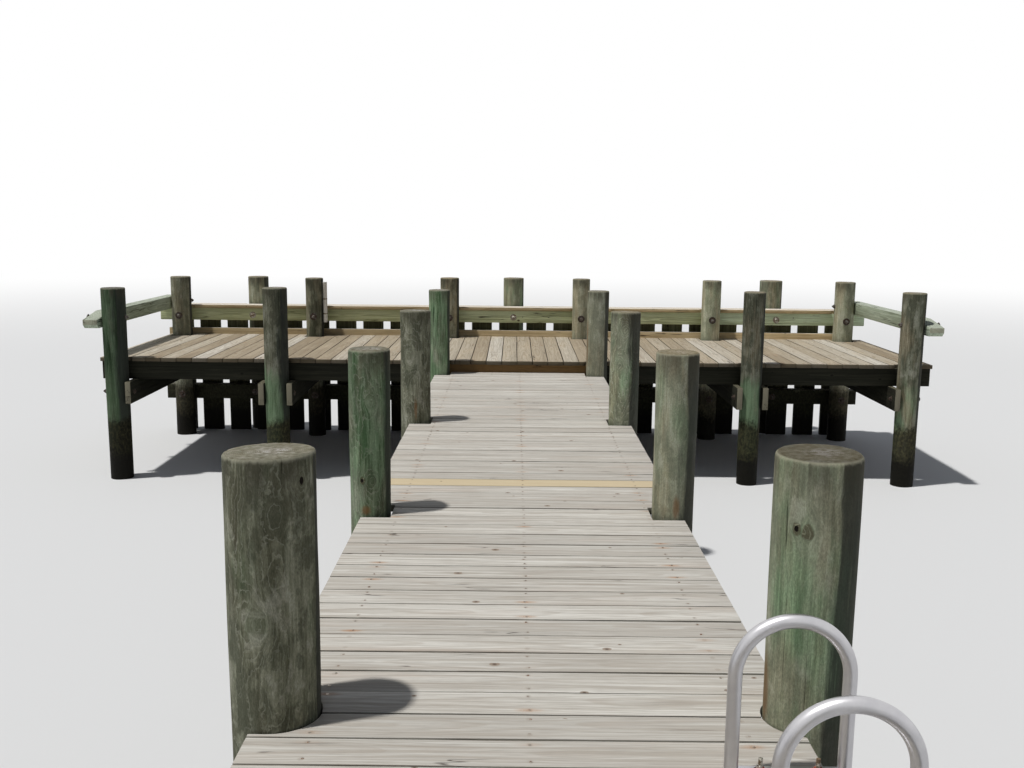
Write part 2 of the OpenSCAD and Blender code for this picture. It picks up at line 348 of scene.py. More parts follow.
def surface(web, colour, roughness, height=None, sheen=0.1, metallic=0):
    """Feeds the material's Principled shader. The height is in metres. Weathered timber is porous, so its
    sheen is low."""
    sockets = web.tree.nodes["Principled BSDF"].inputs
    web.feed(sockets["Base Color"], colour)
    web.feed(sockets["Roughness"], roughness)
    web.feed(sockets["Specular IOR Level"], sheen)
    web.feed(sockets["Metallic"], metallic)
    if height is not None:
        bump = web.wire("ShaderNodeBump", {"Strength": 1, "Distance": 1, "Height": height})
        web.feed(sockets["Normal"], bump)
    return web.owner


def sawn_timber(web, pith_depth, ring, wander, knots, checked, length):
    """The timber's own place and tone, its grain and its drying checks."""
    place = web.vector("wood")
    grain = web.group("sawn grain", place=place, pith_depth=pith_depth, ring=ring, wander=wander, knots=knots)
    check = web.group("drying checks", place=place, amount=checked, length=length).check
    return place, web.vector("tone").parts(), grain, check


def screw_stains(web, seed, lines):
    along, across, _ = web.vector("board").parts()
    return web.group("fastener stains", along=along, across=across, seed=seed,
                     **{"line_%d" % n: line for n, line in enumerate(lines, 1)})


def walkway_board_material(lines):
    web = new_material("bleached boards")
    place, tone, grain, check = sawn_timber(web, 0.075, 0.0065, 0.055, 0.4, 0.25, 0.8)
    stain = screw_stains(web, tone[2], lines)
    pale = web.mix(tone[0], (0.55, 0.53, 0.485), (0.71, 0.69, 0.635))
    pink = place.noise((1.1, 6, 1)).step(0.5, 0.72) * grain.fibre.step(0.3, 0.7)
    colour = web.paint(
        web.mix(grain.streak.step(0.3, 0.62), (0.46, 0.425, 0.375), pale),
        (grain.streak.step(0.54, 0.75) * 0.5, (0.78, 0.76, 0.705)),
        (pink * 0.42, (0.52, 0.39, 0.305)),
        (grain.ring_line * 0.3, (0.36, 0.3, 0.24)),
        (grain.fibre.step(0.52, 0.3) * 0.45, (0.3, 0.27, 0.24)),
        # One board is newer and still yellow
        (tone[1] * 0.75, (0.66, 0.53, 0.32)),
        (grain.knot * 0.7, (0.24, 0.165, 0.11)),
        (grain.knot_heart, (0.09, 0.06, 0.045)),
        # Painted shade inside the open checks
        (check * 0.85, (0.07, 0.055, 0.045)),
        (stain.halo * 0.3, (0.24, 0.18, 0.13)),
        (stain.rust * 0.7, (0.42, 0.2, 0.08)),
        # Painted shade: the sides and underside, in the seams and under the boards, are darker; they are
        # greener too, as timber that has not bleached
        (web.facing_up().step(0.75, 0.2) * 0.62, (0.12, 0.11, 0.075)))
    return surface(web, colour, grain.streak.step(0.3, 0.7, 0.84, 0.7), grain.height - check * 0.0015,
                   sheen=0.25)


def platform_board_material(lines):
    web = new_material("tan boards")
    place, tone, grain, check = sawn_timber(web, 0.07, 0.0075, 0.06, 0.45, 0.3, 1)
    stain = screw_stains(web, tone[2], lines)
    base = tone[0].ramp((0, (0.3, 0.245, 0.17)), (0.35, (0.42, 0.355, 0.26)), (0.7, (0.53, 0.475, 0.38)),
                        (1, (0.68, 0.64, 0.56)))
    colour = web.paint(
        web.mix(grain.streak.step(0.28, 0.6), web.mix(0.45, base, (0.22, 0.18, 0.13)), base),
        (place.noise((1, 5, 1)).step(0.46, 0.7) * 0.4, (0.6, 0.5, 0.36)),
        (grain.ring_line * 0.38, (0.25, 0.18, 0.105)),
        (grain.fibre.step(0.52, 0.3) * 0.3, (0.15, 0.12, 0.085)),
        (grain.knot * 0.75, (0.2, 0.12, 0.065)),
        (grain.knot_heart, (0.07, 0.045, 0.03)),
        # Painted shade inside the open checks
        (check * 0.85, (0.06, 0.045, 0.03)),
        (stain.halo * 0.4, (0.15, 0.11, 0.075)),
        (stain.rust * 0.6, (0.36, 0.17, 0.07)),
        # Painted shade: the sides and underside, in the seams and under the boards, are much darker
        (web.facing_up().step(0.75, 0.2) * 0.85, (0.07, 0.055, 0.032)))
    return surface(web, colour, grain.streak.step(0.3, 0.7, 0.84, 0.7), grain.height - check * 0.0015,
                   sheen=0.2)


def beam_material(name, deep, mid, pale, top, tide=False, silver=None):
    """Sawn beams: deep, mid and pale grain colours for the sides, and a sun-bleached colour on top. Silver
    is what the colour is multiplied by where the timber's own tone says that it has bleached."""
    web = new_material(name)
    place, tone, grain, check = sawn_timber(web, 0.03, 0.008, 0.07, 0.5, 0.6, 1.6)
    blotch = place.noise((1.3, 6, 6), 4, 0.6)
    colour = (grain.streak * 0.6 + blotch * 0.4).ramp((0.33, deep), (0.5, mid), (0.7, pale))
    colour = web.times(colour, tone[0] * 0.5 + 0.75)
    if silver:
        colour = web.times(colour, web.mix(tone[2], (1, 1, 1), silver))
    up = web.facing_up()
    on_side = abs(up).step(0.6, 0.3)
    knot = tuple(min(a, b) for a, b in zip(deep, (0.085, 0.06, 0.035)))
    colour = web.paint(
        colour,
        (up.step(0.45, 0.85) * grain.streak.step(0.25, 0.55, 0.55, 1), top),
        (tone[1] * 0.85, (0.33, 0.2, 0.085)),
        (grain.ring_line * 0.4, deep),
        (grain.fibre.step(0.5, 0.3) * 0.3, deep),
        (grain.knot * on_side * 0.75, knot),
        (grain.knot_heart * on_side, tuple(0.5 * c for c in knot)),
        # End grain is paler, with its own fine checks
        (web.value("end") * 0.6, (0.36, 0.33, 0.24)),
        # Painted shade inside the open checks
        (check * 0.85, (0.025, 0.02, 0.015)))
    rough = 0.84
    if tide:
        marks = web.group("tide marks", place=web.position(), height=web.position().parts()[2])
        # Tide growth, painted darker than it is, partly as the shade low under the platform
        growth = web.mix(marks.slime, (0.014, 0.013, 0.009), (0.04, 0.04, 0.022))
        colour = web.paint(colour, (marks.dark * 0.93, growth), (marks.black, (0.007, 0.0065, 0.005)))
        rough = marks.black.step(0, 1, 0.84, 0.7)
    return surface(web, colour, rough, grain.height * 1.4 - check * 0.002)


def pile_material():
    web = new_material("weathered pile")
    stem = web.vector("stem")
    below, crown, split = web.value("below"), web.value("crown"), web.value("split")
    green, warm, pale = web.vector("tint").parts()
    contours, shaded, stained = web.vector("mood").parts()
    placed = stem + web.value("seed") * (3.1, 5.7, 2.3)
    ragged = placed.noise((75, 75, 45), 3, 0.6)
    bent, rings, body, heart = placed, 0, 0, 0
    sizes, hearts = web.vector("knot_sizes").parts(), web.vector("knot_hearts").parts()
    for n, (size, heart_share) in enumerate(zip(sizes, hearts), 1):
        knot = web.group("knot", place=stem, centre=web.vector("knot_%d" % n), size=size,
                         heart_share=heart_share, ragged=ragged)
        bent += knot.push
        rings += knot.rings
        body = web.math("MAXIMUM", knot.body, body)
        heart = web.math("MAXIMUM", knot.heart, heart)
    broad = bent.noise((17, 17, 1.5), 5, 0.6)
    fine = bent.noise((120, 120, 6), 3, 0.6)
    patch = bent.noise((8, 8, 1.9), 4, 0.6)
    # Growth rings laid bare by the peeling: the contour lines of a slow bulge
    waver = placed.noise((52, 52, 34), 2)
    turn = web.math("FRACT", bent.noise((7, 7, 2.2), 2, 0.4) * 18 + waver * 1.6 + rings)
    crest = turn.step(0.72, 0.9) * turn.step(1, 0.96)
    value = broad * 0.6 + fine * 0.4
    lit = value.step(0.38, 0.62)
    colour = value.ramp((0.34, (0.06, 0.06, 0.04)), (0.44, (0.12, 0.125, 0.085)), (0.54, (0.195, 0.2, 0.145)),
                        (0.66, (0.31, 0.32, 0.245)))
    lush = (bent.noise((7, 7, 2), 4, 0.6) + green * 0.5).step(0.7, 0.98) * green.step(0, 0.65)
    # Uneven weathering leaves dark and pale patches with wavy edges, and pale piles are more even
    patchy = bent.noise((13, 13, 6.5), 5, 0.62)
    even = pale.step(0.55, 0.85)
    deep_green = web.mix(even, (0.052, 0.1, 0.045), (0.095, 0.15, 0.085))
    lines = contours * patch.step(0.36, 0.56, 0.4, 1) * waver.step(0.36, 0.56, 0.45, 1)
    colour = web.paint(
        colour,
        (patchy.step(0.48, 0.56, 0, 0.62), (0.055, 0.06, 0.04)),
        (patchy.step(0.45, 0.36, 0, 0.4), (0.42, 0.42, 0.35)),
        (even * 0.4, web.mix(green, (0.22, 0.215, 0.165), (0.2, 0.245, 0.165))),
        (lush, web.mix(lit, deep_green, (0.24, 0.34, 0.21))),
        (lush * below.step(0.7, 0.95) * 0.3, (0.3, 0.42, 0.25)),
        (patch.step(0.42, 0.64) * warm, web.mix(lit, (0.16, 0.12, 0.07), (0.38, 0.325, 0.22))),
        ((1 - turn.step(0, 0.85)) * lines * 0.36, (0.055, 0.056, 0.038)),
        (crest * lines * 0.42, (0.36, 0.365, 0.295)))
    grit = placed.noise((320, 320, 110), 2, 0.7)
    bright = (pale * 1.5 + 0.35) * grit.step(0.3, 0.7, 0.82, 1.2)
    dirt = (ragged * 0.08 + below).step(0.2, 0.06) * broad.step(0.42, 0.54)
    colour = web.paint(
        web.times(colour, bright),
        # Painted shade on the side away from the key light, over timber that has partly really gone dark
        # there, with a ragged edge
        ((broad * 0.8 + shaded - 0.4).step(0.42, 0.58) * 0.86, (0.032, 0.034, 0.03)),
        # Dirt washed down from the head
        (dirt * 0.65, (0.065, 0.06, 0.042)),
        ((fine * 0.7 + stained - 0.35).step(0.25, 0.85) * 0.7, (0.2, 0.095, 0.035)),
        # Knots: brown with rings of their own, and a hole at the heart painted black as the shade inside it
        (body * 0.7, web.mix(crest, (0.085, 0.068, 0.04), (0.25, 0.24, 0.16))),
        (heart, (0.01, 0.008, 0.006)),
        # Painted shade inside the open splits, darker than their grooves alone make them
        (split * 0.95, (0.014, 0.012, 0.009)),
        # Bleached rim
        ((ragged * 0.02 + below).step(0.026, 0.014) * 0.6,
         web.mix(warm, (0.34, 0.335, 0.26), (0.42, 0.37, 0.25))))
    # Sawn head: end grain with year rings, bleached towards the middle
    up = web.facing_up().step(0.6, 0.92)
    centre_gap = (stem * (1, 1, 0) - (0.012, -0.008, 0)).length()
    year = web.math("FRACT", centre_gap * 170 + placed.noise((14, 14, 3), 2) * 3)
    mottle = placed.noise((48, 48, 5), 5, 0.65)
    head = web.paint(
        mottle.ramp((0.33, (0.12, 0.11, 0.075)), (0.5, (0.215, 0.21, 0.16)), (0.68, (0.36, 0.35, 0.3))),
        (centre_gap.step(0.075, 0.02) * mottle.step(0.4, 0.62), (0.52, 0.505, 0.48)),
        (warm * patch.step(0.3, 0.6), (0.3, 0.22, 0.1)),
        (year.step(0.5, 0.95) * 0.42, (0.09, 0.08, 0.055)))
    # The splits across the head are painted dark as the shade inside them
    head = web.paint(web.times(head, crown), (split * 0.9, (0.025, 0.02, 0.015)))
    # Growth at the water line, painted darker than wet growth is, partly to stand in for the shade low under
    # the decks
    marks = web.group("tide marks", place=placed, height=stem.parts()[2])
    moss = web.mix(green.step(0.3, 1), (0.055, 0.047, 0.028), (0.09, 0.085, 0.04))
    growth = web.times(web.mix(marks.slime, (0.018, 0.017, 0.011), moss), bright)
    colour = web.paint(colour, (up, head), (marks.dark * 0.93, growth),
                       (marks.black * 0.95, (0.007, 0.0065, 0.005)))
    height = (broad * 0.003 + fine * 0.0012 + turn * lines * 0.0008 - heart * 0.005 + body * crest * 0.0012
              - up * year * 0.0005 + marks.dark * marks.slime * 0.0025)
    return surface(web, colour, marks.black.step(0, 1, 0.86, 0.7), height)


def object_place(web):
    return web.wire("ShaderNodeTexCoord", output="Object")


def alloy_material():
    web = new_material("satin alloy")
    place = object_place(web)
    haze = place.noise(22, 4, 0.6)
    fine = place.noise((420, 420, 160), 2)
    colour = web.paint(web.mix(haze.step(0.3, 0.7), (0.5, 0.495, 0.515), (0.55, 0.545, 0.56)),
                       (place.noise(150, 2).step(0.68, 0.78) * 0.25, (0.36, 0.35, 0.33)))
    return surface(web, colour, haze * 0.05 + fine * 0.05 + 0.29, fine * 0.00004, sheen=0.5, metallic=1)


def steel_material(name, bare, rusted, amount):
    """Galvanised or plain steel with rust: amount is the share that rust covers."""
    web = new_material(name)
    fine = object_place(web).noise(380, 3, 0.6)
    cover = object_place(web).noise(60, 5, 0.7).step(0.62 - 0.3 * amount, 0.72 - 0.3 * amount)
    rust = web.mix(fine, tuple(0.45 * c for c in rusted), rusted)
    return surface(web, web.mix(cover, bare, rust), cover.step(0, 1, 0.45, 0.88), fine * 0.0002,
                   sheen=0.4, metallic=0.9 - cover * 0.9)


def plastic_material():
    web = new_material("white plastic")
    haze = object_place(web).noise((14, 14, 5), 4)
    scuff = object_place(web).noise((160, 160, 30))
    colour = web.paint(web.mix(haze.step(0.35, 0.7), (0.68, 0.66, 0.6), (0.84, 0.83, 0.79)),
                       (scuff.step(0.62, 0.72) * 0.35, (0.42, 0.4, 0.33)))
    return surface(web, colour, haze.step(0.3, 0.7, 0.5, 0.34), scuff * 0.0001, sheen=0.5)


# Mesh building

AXES = (Vector((1, 0, 0)), Vector((0, 1, 0)), Vector((0, 0, 1)))
END_COSINE = 0.8
SHARP_DEG = 50
HALF_JOINT = 0.0008


def mesh_of(bm, name="part"):
    """Turns the bmesh into a mesh, and frees it."""
    mesh = bpy.data.meshes.new(name)
    bm.to_mesh(mesh)
    bm.free()
    return mesh


def add_object(name, data):
    made = bpy.data.objects.new(name, data)
    bpy.context.scene.collection.objects.link(made)
    return made


def finish_piece(name, mesh, finish, replaced=(), smooth_deg=32):
    """Makes a piece that rides on the jetty."""
    mesh.polygons.foreach_set("use_smooth", [True] * len(mesh.polygons))
    mesh.set_sharp_from_angle(angle=math.radians(smooth_deg))
    piece = add_object(name, mesh)
    mesh.materials.append(finish)
    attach(piece, "root")
    if replaced:
        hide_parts(*replaced)


def finish_mesh(name, bm, finish, replaced=(), smooth_deg=32):
    finish_piece(name, mesh_of(bm, name), finish, replaced, smooth_deg)


def finish_steel(name, bm, finish):
    finish_mesh(name, bm, finish)


def welded_parts(node):
    """The CAD node's separate solids, each as a welded bmesh of its own."""
    bm = bmesh.new()
    bm.from_mesh(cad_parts[node].data)
    bmesh.ops.remove_doubles(bm, verts=bm.verts, dist=0.00002)
    bm.verts.index_update()
    owner = {}
    for start in bm.verts:
        queue = [start]
        while queue:
            vert = queue.pop()
            if vert.index not in owner:
                owner[vert.index] = start.index
                queue += [edge.other_vert(vert) for edge in vert.link_edges]
    parts = []
    for first in dict.fromkeys(owner.values()):
        part = bm.copy()
        others = [v for v in part.verts if owner[v.index] != first]
        bmesh.ops.delete(part, geom=others, context="VERTS")
        parts.append(part)
    bm.free()
    return parts


def corners_of(bm):
    return np.array([v.co for v in bm.verts])


def extent(bm):
    co = corners_of(bm)
    return co.min(0), co.max(0)


def store_wood(bm, axis, seed, tone, centre, upright=False):
    """Writes each vertex's place in its own board: along, across and depth, moved apart by the seed. The
    depth of an upright timber runs sideways, so that its knots show on its sides."""
    wood, board, shade = (bm.verts.layers.float_vector.new(name) for name in ("wood", "board", "tone"))
    end = bm.faces.layers.float.new("end")
    across, depth = [(1, 2), (0, 2), (0, 1)][axis]
    if upright and axis < 2:
        across, depth = depth, across
    shift = (7.31 * seed, 0.013 * math.sin(seed * 5.0), -0.01 * math.cos(seed * 3.0))
    for v in bm.verts:
        along = v.co[axis]
        side = v.co[across] - centre[across]
        deep = v.co[depth] - centre[depth]
        v[wood] = (along + shift[0], side + shift[1], deep + shift[2])
        v[board] = (along, side, deep)
        v[shade] = tone
    for face in bm.faces:
        face[end] = float(abs(face.normal.dot(AXES[axis])) > END_COSINE)


def slice_across(bm, axis, place, side=1, clear=False):
    """Cuts across the axis, and clears what lies beyond the cut on that side if told to."""
    return bmesh.ops.bisect_plane(bm, geom=bm.verts[:] + bm.edges[:] + bm.faces[:], dist=0.00001,
                                  plane_co=AXES[axis] * place, plane_no=AXES[axis] * side, clear_outer=clear)


def add_loops(bm, axis, low, high):
    """Cuts the piece across its length so that it can bow a little."""
    count = int((high - low) / LOOP_STEP)
    for n in range(1, count + 1):
        slice_across(bm, axis, low + (high - low) * n / (count + 1))


def saw_off(bm, axis, place, side):
    """Cuts an end off and closes the cut."""
    made = slice_across(bm, axis, place, side, clear=True)
    rim = [g for g in made["geom_cut"] if isinstance(g, bmesh.types.BMEdge)]
    bmesh.ops.contextual_create(bm, geom=rim)


def soften(bm, width):
    limit = math.radians(SHARP_DEG)
    edges = [e for e in bm.edges if len(e.link_faces) == 2 and e.calc_face_angle(0.0) > limit]
    bmesh.ops.bevel(bm, geom=edges, offset=width, offset_type="OFFSET", segments=2, profile=0.5,
                    affect="EDGES", clamp_overlap=True)


def merge_into(target, source):
    """Adds the source bmesh to the target, with its layers, and frees it."""
    mesh = mesh_of(source)
    target.from_mesh(mesh)
    bpy.data.meshes.remove(mesh)


def dress(name, node, finish, axis, arris=ARRIS, cuts=(), tone_of=None, wear=0.0012):
    """A finer copy of a sawn CAD node: its edges are worn, its faces bow a little, and its grain runs
    along the axis. Cuts are places along the axis where one length of timber butts against the next, with
    a hair's gap."""
    whole = bmesh.new()
    for number, part in enumerate(welded_parts(node)):
        first, last = (end[axis] for end in extent(part))
        places = [first, *(cut for cut in cuts if first < cut < last), last]
        for stretch, (start, end) in enumerate(zip(places, places[1:])):
            piece = part.copy()
            if start > first:
                saw_off(piece, axis, start + HALF_JOINT, -1)
            if end < last:
                saw_off(piece, axis, end - HALF_JOINT, 1)
            bmesh.ops.dissolve_limit(piece, angle_limit=0.01, verts=piece.verts[:], edges=piece.edges[:])
            rng = random.Random("%s %d %d" % (node, number, stretch))
            add_loops(piece, axis, start, end)
            low, high = extent(piece)
            centre = (low + high) / 2
            wear_in(piece, centre, rng, wear)
            if arris:
                soften(piece, arris)
            tone = tone_of(centre, rng) if tone_of else (rng.random(), 0.0, rng.random())
            store_wood(piece, axis, rng.uniform(0, 9), tone, centre, upright=True)
            merge_into(whole, piece)
        part.free()
    finish_mesh(name, whole, finish, [node])


def some_phases(rng, count):
    return [rng.uniform(0, 6.28) for _ in range(count)]


def wear_in(bm, centre, rng, depth):
    """Moves the vertices a little towards the middle of the section, unevenly along the timber."""
    phases = some_phases(rng, 6)
    for v in bm.verts:
        place = v.co
        for axis in range(3):
            swing = math.sin(place[(axis + 1) % 3] * 2.3 + place[(axis + 2) % 3] * 1.7 + phases[axis])
            swing += 0.6 * math.sin(place[0] * 5.9 + place[1] * 4.3 + place[2] * 3.1 + phases[axis + 3])
            inward = 1.0 if place[axis] < centre[axis] else -1.0
            place[axis] += inward * depth * (0.5 + 0.5 * swing / 1.6)


def bridge(bm, rings):
    """Faces from each ring of vertices to the next. A ring may be a single point."""
    for first, second in zip(rings, rings[1:]):
        for n in range(max(len(first), len(second))):
            corners = (first[n % len(first)], first[(n + 1) % len(first)],
                       second[(n + 1) % len(second)], second[n % len(second)])
            unique = list(dict.fromkeys(corners))
            if len(unique) > 2:
                bm.faces.new(unique)


def ring_of(bm, centre, side, other, radius, steps, turn=0.0):
    angles = (2 * math.pi * n / steps + turn for n in range(steps if radius > 0 else 1))
    return [bm.verts.new(centre + (side * math.cos(a) + other * math.sin(a)) * radius) for a in angles]


def lathe(bm, profile, centre, axis=(0, 0, 1), steps=16, turn=0.0):
    """Revolves (radius, distance) points round an axis through the centre. A radius of 0 closes an end."""
    axis = Vector(axis).normalized()
    side = axis.orthogonal().normalized()
    other = axis.cross(side)
    bridge(bm, [ring_of(bm, Vector(centre) + axis * distance, side, other, radius, steps, turn)
                for radius, distance in profile])


# Deck boards

def read_deck(first_node, last_node, axis, seam, pitch, posts):
    """A deck's extent, levels and openings. The axis is 0 where its boards run along X, 1 along Y."""
    low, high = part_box(first_node)[0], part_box(last_node)[1]
    return SimpleNamespace(axis=axis, side=1 - axis, seam=seam, pitch=pitch, bottom=low.z, top=high.z,
                           start=low[axis], end=high[axis], low=low[1 - axis], high=high[1 - axis],
                           notches=pile_notches(posts, axis))


def strip_outline(start, end, side_low, side_high, notches):
    """Corners of a board from start to end along its length, cut short where a notch meets its ends.
    A notch is (along, side, half width, whether it is round)."""
    hits = [n for n in notches if n[1] - n[2] < side_high and n[1] + n[2] > side_low
            and start - n[2] < n[0] < end + n[2]]

    def stops(side):
        low, high = start, end
        for along, middle, half, is_round in hits:
            if abs(side - middle) < half:
                reach = math.sqrt(half ** 2 - (side - middle) ** 2) if is_round else half
                if 2 * along < start + end:
                    low = max(low, along + reach)
                else:
                    high = min(high, along - reach)
        return low, high

    breaks = {side_low, side_high}
    for _, middle, half, is_round in hits:
        cuts = (middle + half * math.sin(math.radians(a)) for a in range(-90, 91, 10 if is_round else 180))
        breaks |= {c for c in cuts if side_low < c < side_high}
    breaks = sorted(breaks)
    near, far = [], []
    for a, b in zip(breaks, breaks[1:]):
        for side in (a + 0.00001, b - 0.00001):
            low, high = stops(side)
            near.append((low, side))
            far.append((high, side))
    corners = []
    for point in near + far[::-1]:
        if not corners or math.dist(point, corners[-1]) > 0.0005:
            corners.append(point)
    tidy = []
    for before, point, after in zip(corners[-1:] + corners, corners, corners[1:] + corners[:1]):
        bend = (point[0] - before[0]) * (after[1] - point[1]) - (point[1] - before[1]) * (after[0] - point[0])
        if abs(bend) > 1e-7:
            tidy.append(point)
    return tidy


def deck_board(deck, side_low, side_high, rng, tone):
    """One board with worn edges, cut round the piles."""
    axis, side = deck.axis, deck.side
    bm = bmesh.new()
    corners = strip_outline(deck.start, deck.end, side_low, side_high, deck.notches)
    face = bm.faces.new([bm.verts.new((p[axis], p[side], deck.top)) for p in corners])
    if face.normal.z < 0:
        face.normal_flip()
    for made in bmesh.ops.extrude_face_region(bm, geom=[face])["geom"]:
        if isinstance(made, bmesh.types.BMVert):
            made.co.z = deck.bottom
    bmesh.ops.recalc_face_normals(bm, faces=bm.faces[:])
    add_loops(bm, axis, deck.start, deck.end)
    middle = (side_low + side_high) / 2
    phases = some_phases(rng, 4)
    cup = rng.uniform(-0.0008, 0.0012)
    drop = rng.uniform(0, 0.0016)
    for v in bm.verts:
        along = v.co[axis]
        wave = math.sin(along * 1.9 + phases[0]) + 0.5 * math.sin(along * 5.3 + phases[1])
        v.co.z -= drop + cup + 0.0005 * (1.5 + wave)
        inward = 1.0 if v.co[side] < middle else -1.0
        v.co[side] += inward * 0.0007 * (1 + math.sin(along * 4.1 + phases[2] + inward))
        v.co[side] += 0.0008 * math.sin(along * 1.3 + phases[3])
    soften(bm, ARRIS)
    centre = [0.0, 0.0, (deck.bottom + deck.top) / 2]
    centre[side] = middle
    store_wood(bm, axis, rng.uniform(0, 9), tone, centre)
    return bm


def pile_notches(posts, axis):
    """Openings round the piles, as strip_outline takes them: the nearest pair in view is scribed round."""
    found = []
    for name, post in posts.items():
        is_round = name in SCRIBED
        place = (post.x, post.y)
        gap = SCRIBE_GAP if is_round else PILE_GAP
        found.append((place[axis], place[1 - axis], post.radius + gap, is_round))
    return found


def walk_seam(number, side):
    """The edge of a walkway board at a seam. Boards shrink unevenly, so no two seams are alike."""
    half = WALK_GAP / 2 * random.Random("seam %d" % number).uniform(0.45, 1.25)
    return WALK_SEAM + number * WALK_PITCH + side * half


def finish_boards(name, deck, boards, finish, node):
    whole = bmesh.new()
    for board in boards:
        merge_into(whole, deck_board(deck, *board))
    finish_mesh(name, whole, finish, [node])


def walkway_boards(deck, finish):
    for bay in range(1, 6):
        node = "walkway_deck_%d" % bay
        # The slabs lap at the piles' middles, so a board belongs to the bay that its middle is in
        first, last = (math.ceil((end.y - WALK_SEAM) / WALK_PITCH - 0.5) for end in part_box(node))
        boards = []
        for number in range(first, last):
            near, far = walk_seam(number, 1), min(walk_seam(number + 1, -1), deck.high - 0.001)
            rng = random.Random("walkway board %d" % number)
            newer = float(near < NEWER_BOARD_Y < far)
            boards.append((near, far, rng, (rng.random(), newer, rng.random())))
        if bay == 1:
            rng = random.Random("first board")
            boards.append((deck.low + 0.001, walk_seam(first, -1), rng, (0.4, 0.0, 0.5)))
        finish_boards("walkway_boards_%d" % bay, deck, boards, finish, node)


def board_numbers(deck):
    first, last = ((edge - deck.seam) / deck.pitch for edge in (deck.low, deck.high))
    return range(math.floor(first), math.ceil(last))


def platform_boards(deck, finish):
    boards = []
    for number in board_numbers(deck):
        left = max(deck.low, deck.seam + number * deck.pitch + PLATFORM_GAP / 2)
        right = min(deck.high, deck.seam + (number + 1) * deck.pitch - PLATFORM_GAP / 2)
        if right - left > 0.02:
            rng = random.Random("platform board %d" % number)
            boards.append((left, right, rng, (rng.random(), 0.0, rng.random())))
    finish_boards("platform_boards", deck, boards, finish, "platform_deck")


def screw_head(bm, x, y, top, rng):
    """Small countersunk head with a square recess, just proud of the board."""
    lathe(bm, [(0.0048, -0.002), (0.0046, 0.0002), (0.0038, 0.0006), (0.0019, 0.0005), (0.0016, -0.0012),
               (0, -0.0014)], (x, y, top - 0.0012), steps=8, turn=rng.uniform(0, 1.5))


def screws(name, deck, lines, finish, posts):
    """Two screws where each board crosses each line, apart from those that a pile covers."""
    rng = random.Random(name)
    bm = bmesh.new()
    for number in board_numbers(deck):
        middle = deck.seam + (number + 0.5) * deck.pitch
        for line in lines:
            for side in (-1, 1):
                across = middle + side * (SCREW_OFFSET + rng.uniform(-0.004, 0.004))
                place = (line + rng.uniform(-0.005, 0.005), across)
                x, y = place[deck.axis], place[deck.side]
                clear = all(math.hypot(x - p.x, y - p.y) > p.radius + 0.03 for p in posts.values())
                if clear and deck.low + 0.01 < across < deck.high - 0.01:
                    screw_head(bm, x, y, deck.top, rng)
    finish_steel(name, bm, finish)


# Piles

# Rows up a pile's side, and columns round it
NEAR_DETAIL = (110, 120)
USUAL_DETAIL = (56, 64)


def read_posts():
    """Every pile's place, radius, taper, head and rim, read off its CAD node."""
    nodes = {"walkway_piles_%d" % n: WALKWAY_PAIRS[n] for n in WALKWAY_PAIRS}
    for row in ("front", "back"):
        for n, part in enumerate(ROW_PARTS):
            nodes["%s_piles_%s" % (row, part)] = ["%s_pile_%d" % (row, 2 * n + k) for k in (1, 2)]
    for part in ROW_PARTS:
        nodes["outer_pile_" + part] = ["outer_post_" + part]
    posts = {}
    for node, names in nodes.items():
        parts = sorted(welded_parts(node), key=lambda part: extent(part)[0][0])
        for name, part in zip(names, parts):
            posts[name] = read_post(node, corners_of(part))
            part.free()
    return posts


def read_post(node, co):
    foot = co[co[:, 2] < 0.001]
    middle = (foot.min(0) + foot.max(0)) / 2
    reach = np.hypot(co[:, 0] - middle[0], co[:, 1] - middle[1])
    top = co[:, 2] > co[:, 2].max() - 0.06
    radius = reach[top].max()
    inner = top & (reach < radius - 0.003)
    here = co[inner] - middle
    plane = np.column_stack([here[:, 0], here[:, 1], np.ones(len(here))])
    slope_x, slope_y, head = np.linalg.lstsq(plane, co[inner][:, 2], rcond=None)[0]
    return SimpleNamespace(node=node, x=middle[0], y=middle[1], radius=float(radius), head=float(head),
                           foot=float((foot.max(0) - foot.min(0))[0] / 2), slope=(slope_x, slope_y),
                           rim=float(radius - reach[inner].mean()))


class Look:
    """How one pile looks. A bearing of 0 faces the shore and 90 faces right, in degrees. Tints run from 0 to
    1, and green is given above and below the boards. A split is (bearing, drop below the head where it
    starts and ends, width, depth), a knot (bearing, drop, size, share that is a hole), and a stain
    (bearing, height over the boards, half width, half height). Shade is the middle and half width of the
    dark side, which is painted shade away from the key light, partly over timber that has really gone
    dark; contours is how strongly the growth rings show, and crown is how bright the head is."""

    def __init__(self, green=(0.3, 0.5), warm=0.25, pale=0.48, contours=0.25, shade=(80, 38), splits=(),
                 knots=(), stains=(), crown=1.0):
        self.green, self.warm, self.pale, self.contours, self.crown = green, warm, pale, contours, crown
        self.shade, self.splits, self.knots, self.stains = shade, splits, knots, stains


